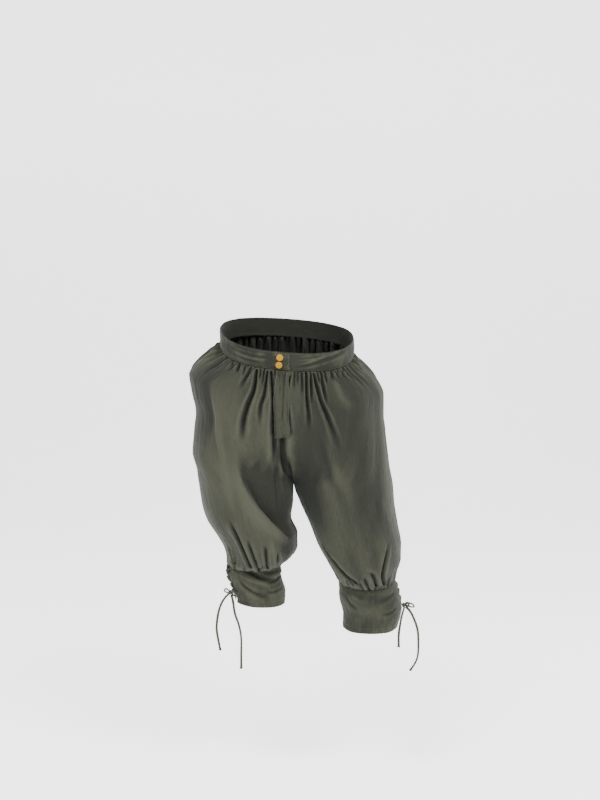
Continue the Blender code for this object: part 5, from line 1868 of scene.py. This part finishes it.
@dataclass
class Buttons:
    """Two round golden buttons, with a fine rim and a softly domed face."""

    sides: int = 72
    # Radius and height as shares of the CAD button's, from the middle of the back to the face.
    profile: Sequence[tuple[float, float]] = (
        (0.0, 0.0), (0.80, 0.0), (0.92, 0.06), (0.985, 0.24), (1.0, 0.48), (0.985, 0.72), (0.95, 0.88),
        (0.90, 0.96), (0.86, 0.955), (0.825, 0.90), (0.79, 0.875), (0.74, 0.885), (0.60, 0.925),
        (0.40, 0.965), (0.20, 0.99), (0.0, 1.0),
    )

    def build(self, finish: bpy.types.Material) -> None:
        """Makes each button in the box of its CAD node."""
        for node in ("button_upper", "button_lower"):
            low, high = (np.array(corner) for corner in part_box(node))
            cad = np.array([v.co for v in bpy.data.objects[node].data.vertices])
            centre = (low + high) / 2
            # The thin direction of the button is the way that it faces.
            facing = np.linalg.svd(cad - cad.mean(axis=0))[2][-1]
            facing = facing * -np.sign(facing[1])
            reach = (cad - centre) @ facing
            radius = float(np.linalg.norm((cad - centre) - reach[:, None] * facing, axis=1).max())
            side = unit(np.cross(facing, [0.0, 0.0, 1.0]))
            up = np.cross(side, facing)
            base, tall = centre + facing * reach.min(), reach.max() - reach.min()
            points, faces = self._turned()
            placed = base + radius * (points[:, :1] * side + points[:, 1:2] * up)
            placed = placed + tall * points[:, 2:] * facing
            Piece(f"brass_{node}", Slot.BUTTON, [node]).make(placed, faces, finish, sharp=0.9)

    def _turned(self) -> tuple[Array, list[list[int]]]:
        """The profile turned round, in shares, with its first and last points at the middle."""
        angle = np.linspace(0, 2 * math.pi, self.sides, endpoint=False)
        rings = [
            np.stack([r * np.cos(angle), r * np.sin(angle), np.full_like(angle, h)], axis=-1)
            for r, h in self.profile[1:-1]
        ]
        points = np.vstack([[[0, 0, self.profile[0][1]]], *rings, [[0, 0, self.profile[-1][1]]]])
        faces = []
        last = len(points) - 1
        for k in range(self.sides):
            after = (k + 1) % self.sides
            faces.append([0, 1 + after, 1 + k])
            for ring in range(len(rings) - 1):
                low, high = 1 + ring * self.sides, 1 + (ring + 1) * self.sides
                faces.append([low + k, low + after, high + after, high + k])
            top = 1 + (len(rings) - 1) * self.sides
            faces.append([top + k, top + after, last])
        return points, faces


# ---- Stitches --------------------------------------------------------------------------------
@dataclass
class Stitches:
    """Rows of machine stitches, made by Geometry Nodes along lines on the cloth."""

    legs: dict[Side, LegCloth]
    band: Waistband
    cuffs: Cuffs
    fly: Fly
    step: float = 0.0034  # from one stitch to the next
    length: float = 0.0024
    radius: float = 0.00042

    def _tree(self, material: bpy.types.Material) -> bpy.types.NodeTree:
        """A tree that lays one stitch at even steps along every line of its input."""
        tree = bpy.data.node_groups.new("rows_of_stitches", "GeometryNodeTree")
        face = tree.interface
        face.new_socket("Lines", in_out="INPUT", socket_type="NodeSocketGeometry")
        for name in ("Step", "Length", "Radius"):
            face.new_socket(name, in_out="INPUT", socket_type="NodeSocketFloat")
        face.new_socket("Stitches", in_out="OUTPUT", socket_type="NodeSocketGeometry")

        def add(kind: str, settings: dict[str, Any] | None = None, **values: Any) -> bpy.types.Node:
            node = tree.nodes.new(kind)
            for name, setting in (settings or {}).items():
                setattr(node, name, setting)
            for name, value in values.items():
                socket = node.inputs[name.replace("_", " ")]
                if isinstance(value, bpy.types.NodeSocket):
                    tree.links.new(value, socket)
                else:
                    socket.default_value = value
            return node

        source = add("NodeGroupInput").outputs
        curve = add("GeometryNodeMeshToCurve", Mesh=source["Lines"]).outputs[0]
        even = add("GeometryNodeResampleCurve", {"mode": "LENGTH"}, Curve=curve, Length=source["Step"])
        straight = add("GeometryNodeInputTangent").outputs[0]
        turned = add("FunctionNodeAlignRotationToVector", {"axis": "Z"}, Vector=straight).outputs[0]
        stitch = add(
            "GeometryNodeMeshIcoSphere", Radius=source["Radius"], Subdivisions=1
        ).outputs["Mesh"]
        longer = add("ShaderNodeMath", {"operation": "DIVIDE"})
        tree.links.new(source["Length"], longer.inputs[0])
        tree.links.new(source["Radius"], longer.inputs[1])
        half = add("ShaderNodeMath", {"operation": "MULTIPLY"})
        tree.links.new(longer.outputs[0], half.inputs[0])
        half.inputs[1].default_value = 0.5
        size = add("ShaderNodeCombineXYZ", X=1.0, Y=1.0, Z=half.outputs[0]).outputs[0]
        shaped = add("GeometryNodeTransform", Geometry=stitch, Scale=size).outputs[0]
        placed = add(
            "GeometryNodeInstanceOnPoints", Points=even.outputs[0], Instance=shaped, Rotation=turned
        ).outputs[0]
        real = add("GeometryNodeRealizeInstances", Geometry=placed).outputs[0]
        dressed = add("GeometryNodeSetMaterial", Geometry=real, Material=material).outputs[0]
        add("NodeGroupOutput", Stitches=dressed)
        return tree

    def _lines(self) -> list[Array]:
        """Every line that is stitched, on the outside of the cloth."""
        lines = []
        for side, leg in self.legs.items():
            seam = leg.columns
            depth = np.abs(leg.aside[leg.rows // 2])
            near = int((np.abs(depth[:seam] - leg.fell)).argmin())
            inner = leg.outside[:, near]
            lower = leg.row > leg.pocket_bottom + 0.1
            # Down the side seam below the pocket: one row beside the seam, one at the fold's edge.
            lines.append(leg.outside[lower][4:-8, seam - 3])
            lines.append(inner[lower][4:-8])
            # Round the pocket's mouth, on the front's edge.
            mouth = (leg.row > leg.pocket_top - 0.2) & (leg.row < leg.pocket_bottom + 0.1)
            lines.append(leg.outside[mouth, seam - 4])
            centre = leg.row < FORK_ROW
            lines.append(leg.outside[centre][6:-2, -3])
        for side, outside in self.cuffs.outsides.items():
            form = self.cuffs.forms[side]
            level = round((1 - self.cuffs.hem / form.length) * (self.cuffs.levels - 1))
            lines.append(outside[level, 3:-3])
            lines.append(outside[2, 3:-3])
            lines.append(outside[2:level, 4])
            lines.append(outside[2:level, -5])
        half_width = PELVIS[0].left
        first = -math.asin(self.band.overlap_end / half_width)
        for height in (self.band.height / 2 - 0.0022, -self.band.height / 2 + 0.0022):
            turn = np.linspace(first + 0.02, first + 2 * math.pi - 0.02, 500)
            lines.append(self._on_band(turn, np.full_like(turn, height)))
        edge = np.linspace(-self.band.height / 2 + 0.003, self.band.height / 2 - 0.003, 20)
        lines.append(self._on_band(np.full_like(edge, first + 0.016), edge))
        grid, normals = self.fly.grid()
        top = grid + normals * (self.fly.clear + self.fly.thickness)
        lines.append(top[4:-2, 1])
        lines.append(top[4:-2, -2])
        lines.append(top[-3, 1:-1])
        return lines

    def _on_band(self, turn: Array, height: Array) -> Array:
        """Points on the waistband's outer face."""
        moved = self.band._relief(turn[None], height[None])[0]
        return self.band.point(turn, height, moved + self.band.proud)

    def build(self, finish: bpy.types.Material) -> None:
        """Makes all the rows as one piece."""
        points, edges = [], []
        for line in self._lines():
            start = len(points)
            points.extend(line.tolist())
            edges += [(start + k, start + k + 1) for k in range(len(line) - 1)]
        mesh = bpy.data.meshes.new("stitch_lines")
        mesh.from_pydata(points, edges, [])
        source = bpy.data.objects.new("stitch_lines", mesh)
        bpy.context.scene.collection.objects.link(source)
        tree = self._tree(finish)
        modifier = source.modifiers.new("stitches", "NODES")
        modifier.node_group = tree
        sizes = {"Step": self.step, "Length": self.length, "Radius": self.radius}
        for item in tree.interface.items_tree:
            if item.name in sizes:
                modifier[item.identifier] = sizes[item.name]
        graph = bpy.context.evaluated_depsgraph_get()
        made = bpy.data.meshes.new_from_object(source.evaluated_get(graph))
        bpy.data.objects.remove(source)
        made.name = "machine_stitches"
        made.shade_smooth()
        obj = bpy.data.objects.new("machine_stitches", made)
        bpy.context.scene.collection.objects.link(obj)
        Piece("machine_stitches", Slot.CLOTH, []).tie(obj)


# ---- Studio ----------------------------------------------------------------------------------
@dataclass
class Studio:
    """A pale seamless floor, soft lights and the camera."""

    floor: float = -1.10
    camera_aim: tuple[float, float, float] = (0.031, 0.0, -0.142)
    camera_away: float = 4.5
    camera_down: float = 5.5  # degrees
    lens: float = 84.4
    sensor: float = 36.0

    def camera(self) -> None:
        """Sets up the camera."""
        data = bpy.data.cameras.new("camera")
        data.lens, data.sensor_width = self.lens, self.sensor
        data.clip_end = 60.0
        camera = bpy.data.objects.new("camera", data)
        down = math.radians(self.camera_down)
        back = Vector((0.0, -math.cos(down), math.sin(down)))
        camera.location = Vector(self.camera_aim) + self.camera_away * back
        camera.rotation_euler = (math.radians(90 - self.camera_down), 0.0, 0.0)
        bpy.context.scene.collection.objects.link(camera)
        bpy.context.scene.camera = camera

    def _light(self, name: str, place: Sequence[float], size: float, power: float) -> None:
        """Adds one square soft light that faces the garment."""
        data = bpy.data.lights.new(name, "AREA")
        data.shape, data.size, data.energy = "SQUARE", size, power
        light = bpy.data.objects.new(name, data)
        light.location = place
        aim = Vector((0.02, 0.0, -0.35)) - Vector(place)
        light.rotation_euler = aim.to_track_quat("-Z", "Y").to_euler()
        bpy.context.scene.collection.objects.link(light)

    def lights(self) -> None:
        """Adds a key from the upper left, a fill from the right, and bright surroundings."""
        self._light("key", (-0.9, -2.9, 2.8), 1.2, 180.0)
        self._light("fill", (1.6, -3.0, 2.2), 1.4, 230.0)
        self._light("rim_left", (-2.4, 1.4, 0.9), 1.4, 45.0)
        self._light("rim_right", (2.4, 1.6, 0.9), 1.4, 45.0)
        world = bpy.data.worlds.new("studio")
        world.use_nodes = True
        ground = world.node_tree.nodes["Background"]
        ground.inputs["Color"].default_value = (1.0, 0.99, 0.97, 1.0)
        ground.inputs["Strength"].default_value = 0.85
        bpy.context.scene.world = world

    def floor_sheet(self) -> None:
        """A wide floor that curves up behind the garment."""
        shader = Shader("paper")
        place = shader.node("ShaderNodeTexCoord").out("Object")
        grain = shader.noise(place, (3.0, 3.0, 3.0), 2.0)
        paper = shader.finish(
            base_color=shader.mix(grain, (0.92, 0.92, 0.92), (0.95, 0.95, 0.95)),
            roughness=0.9,
            emission_color=(1.0, 1.0, 1.0, 1.0),
            emission_strength=1.1,
        )
        turn = np.linspace(0, math.pi / 2, 15)
        profile = [(-9.0, 0.0), (3.0, 0.0)]
        profile += [(3.0 + 2.0 * math.sin(a), 2.0 - 2.0 * math.cos(a)) for a in turn[1:]]
        profile += [(5.0, 9.0)]
        points = [(x, y, self.floor + z) for y, z in profile for x in (-12.0, 12.0)]
        faces = [(2 * k, 2 * k + 1, 2 * k + 3, 2 * k + 2) for k in range(len(profile) - 1)]
        mesh = bpy.data.meshes.new("floor")
        mesh.from_pydata(points, [], faces)
        mesh.shade_smooth()
        mesh.materials.append(paper)
        floor = bpy.data.objects.new("floor", mesh)
        bpy.context.scene.collection.objects.link(floor)
        floor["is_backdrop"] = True

    def build(self) -> None:
        """Sets up everything."""
        self.camera()
        self.lights()
        self.floor_sheet()


def corners() -> list[list[float]]:
    """The box of what shows, as plain numbers."""
    return [[float(c) for c in corner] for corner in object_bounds()]


def main() -> None:
    """Builds the finish round the frame, part by part."""
    logging.basicConfig(level=logging.INFO, format="%(name)s %(message)s", stream=sys.stdout)
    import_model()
    Studio().build()
    cloth = ClothFinish("olive_cotton").material()
    lining = ClothFinish("pocket_cotton", (0.026, 0.030, 0.021), (0.017, 0.020, 0.014)).material()
    lace = LaceFinish("lace_tape").material()
    cuffs = Cuffs()
    legs = {side: LegCloth(side) for side in Side}
    legs[Side.LEFT].meet(legs[Side.RIGHT])
    LOG.info("leg cloth shaped")
    band = Waistband()
    fly = Fly(legs)
    Lacing(cuffs).build(lace)
    Panels(legs).build(cloth)
    band.build(cloth)
    fly.build(cloth)
    PocketBags(legs).build(lining)
    cuffs.build(cloth)
    Buttons().build(BrassFinish("golden_brass").material())
    Stitches(legs, band, cuffs, fly).build(ThreadFinish("sewing_thread").material())


if __name__ == "__main__":
    main()
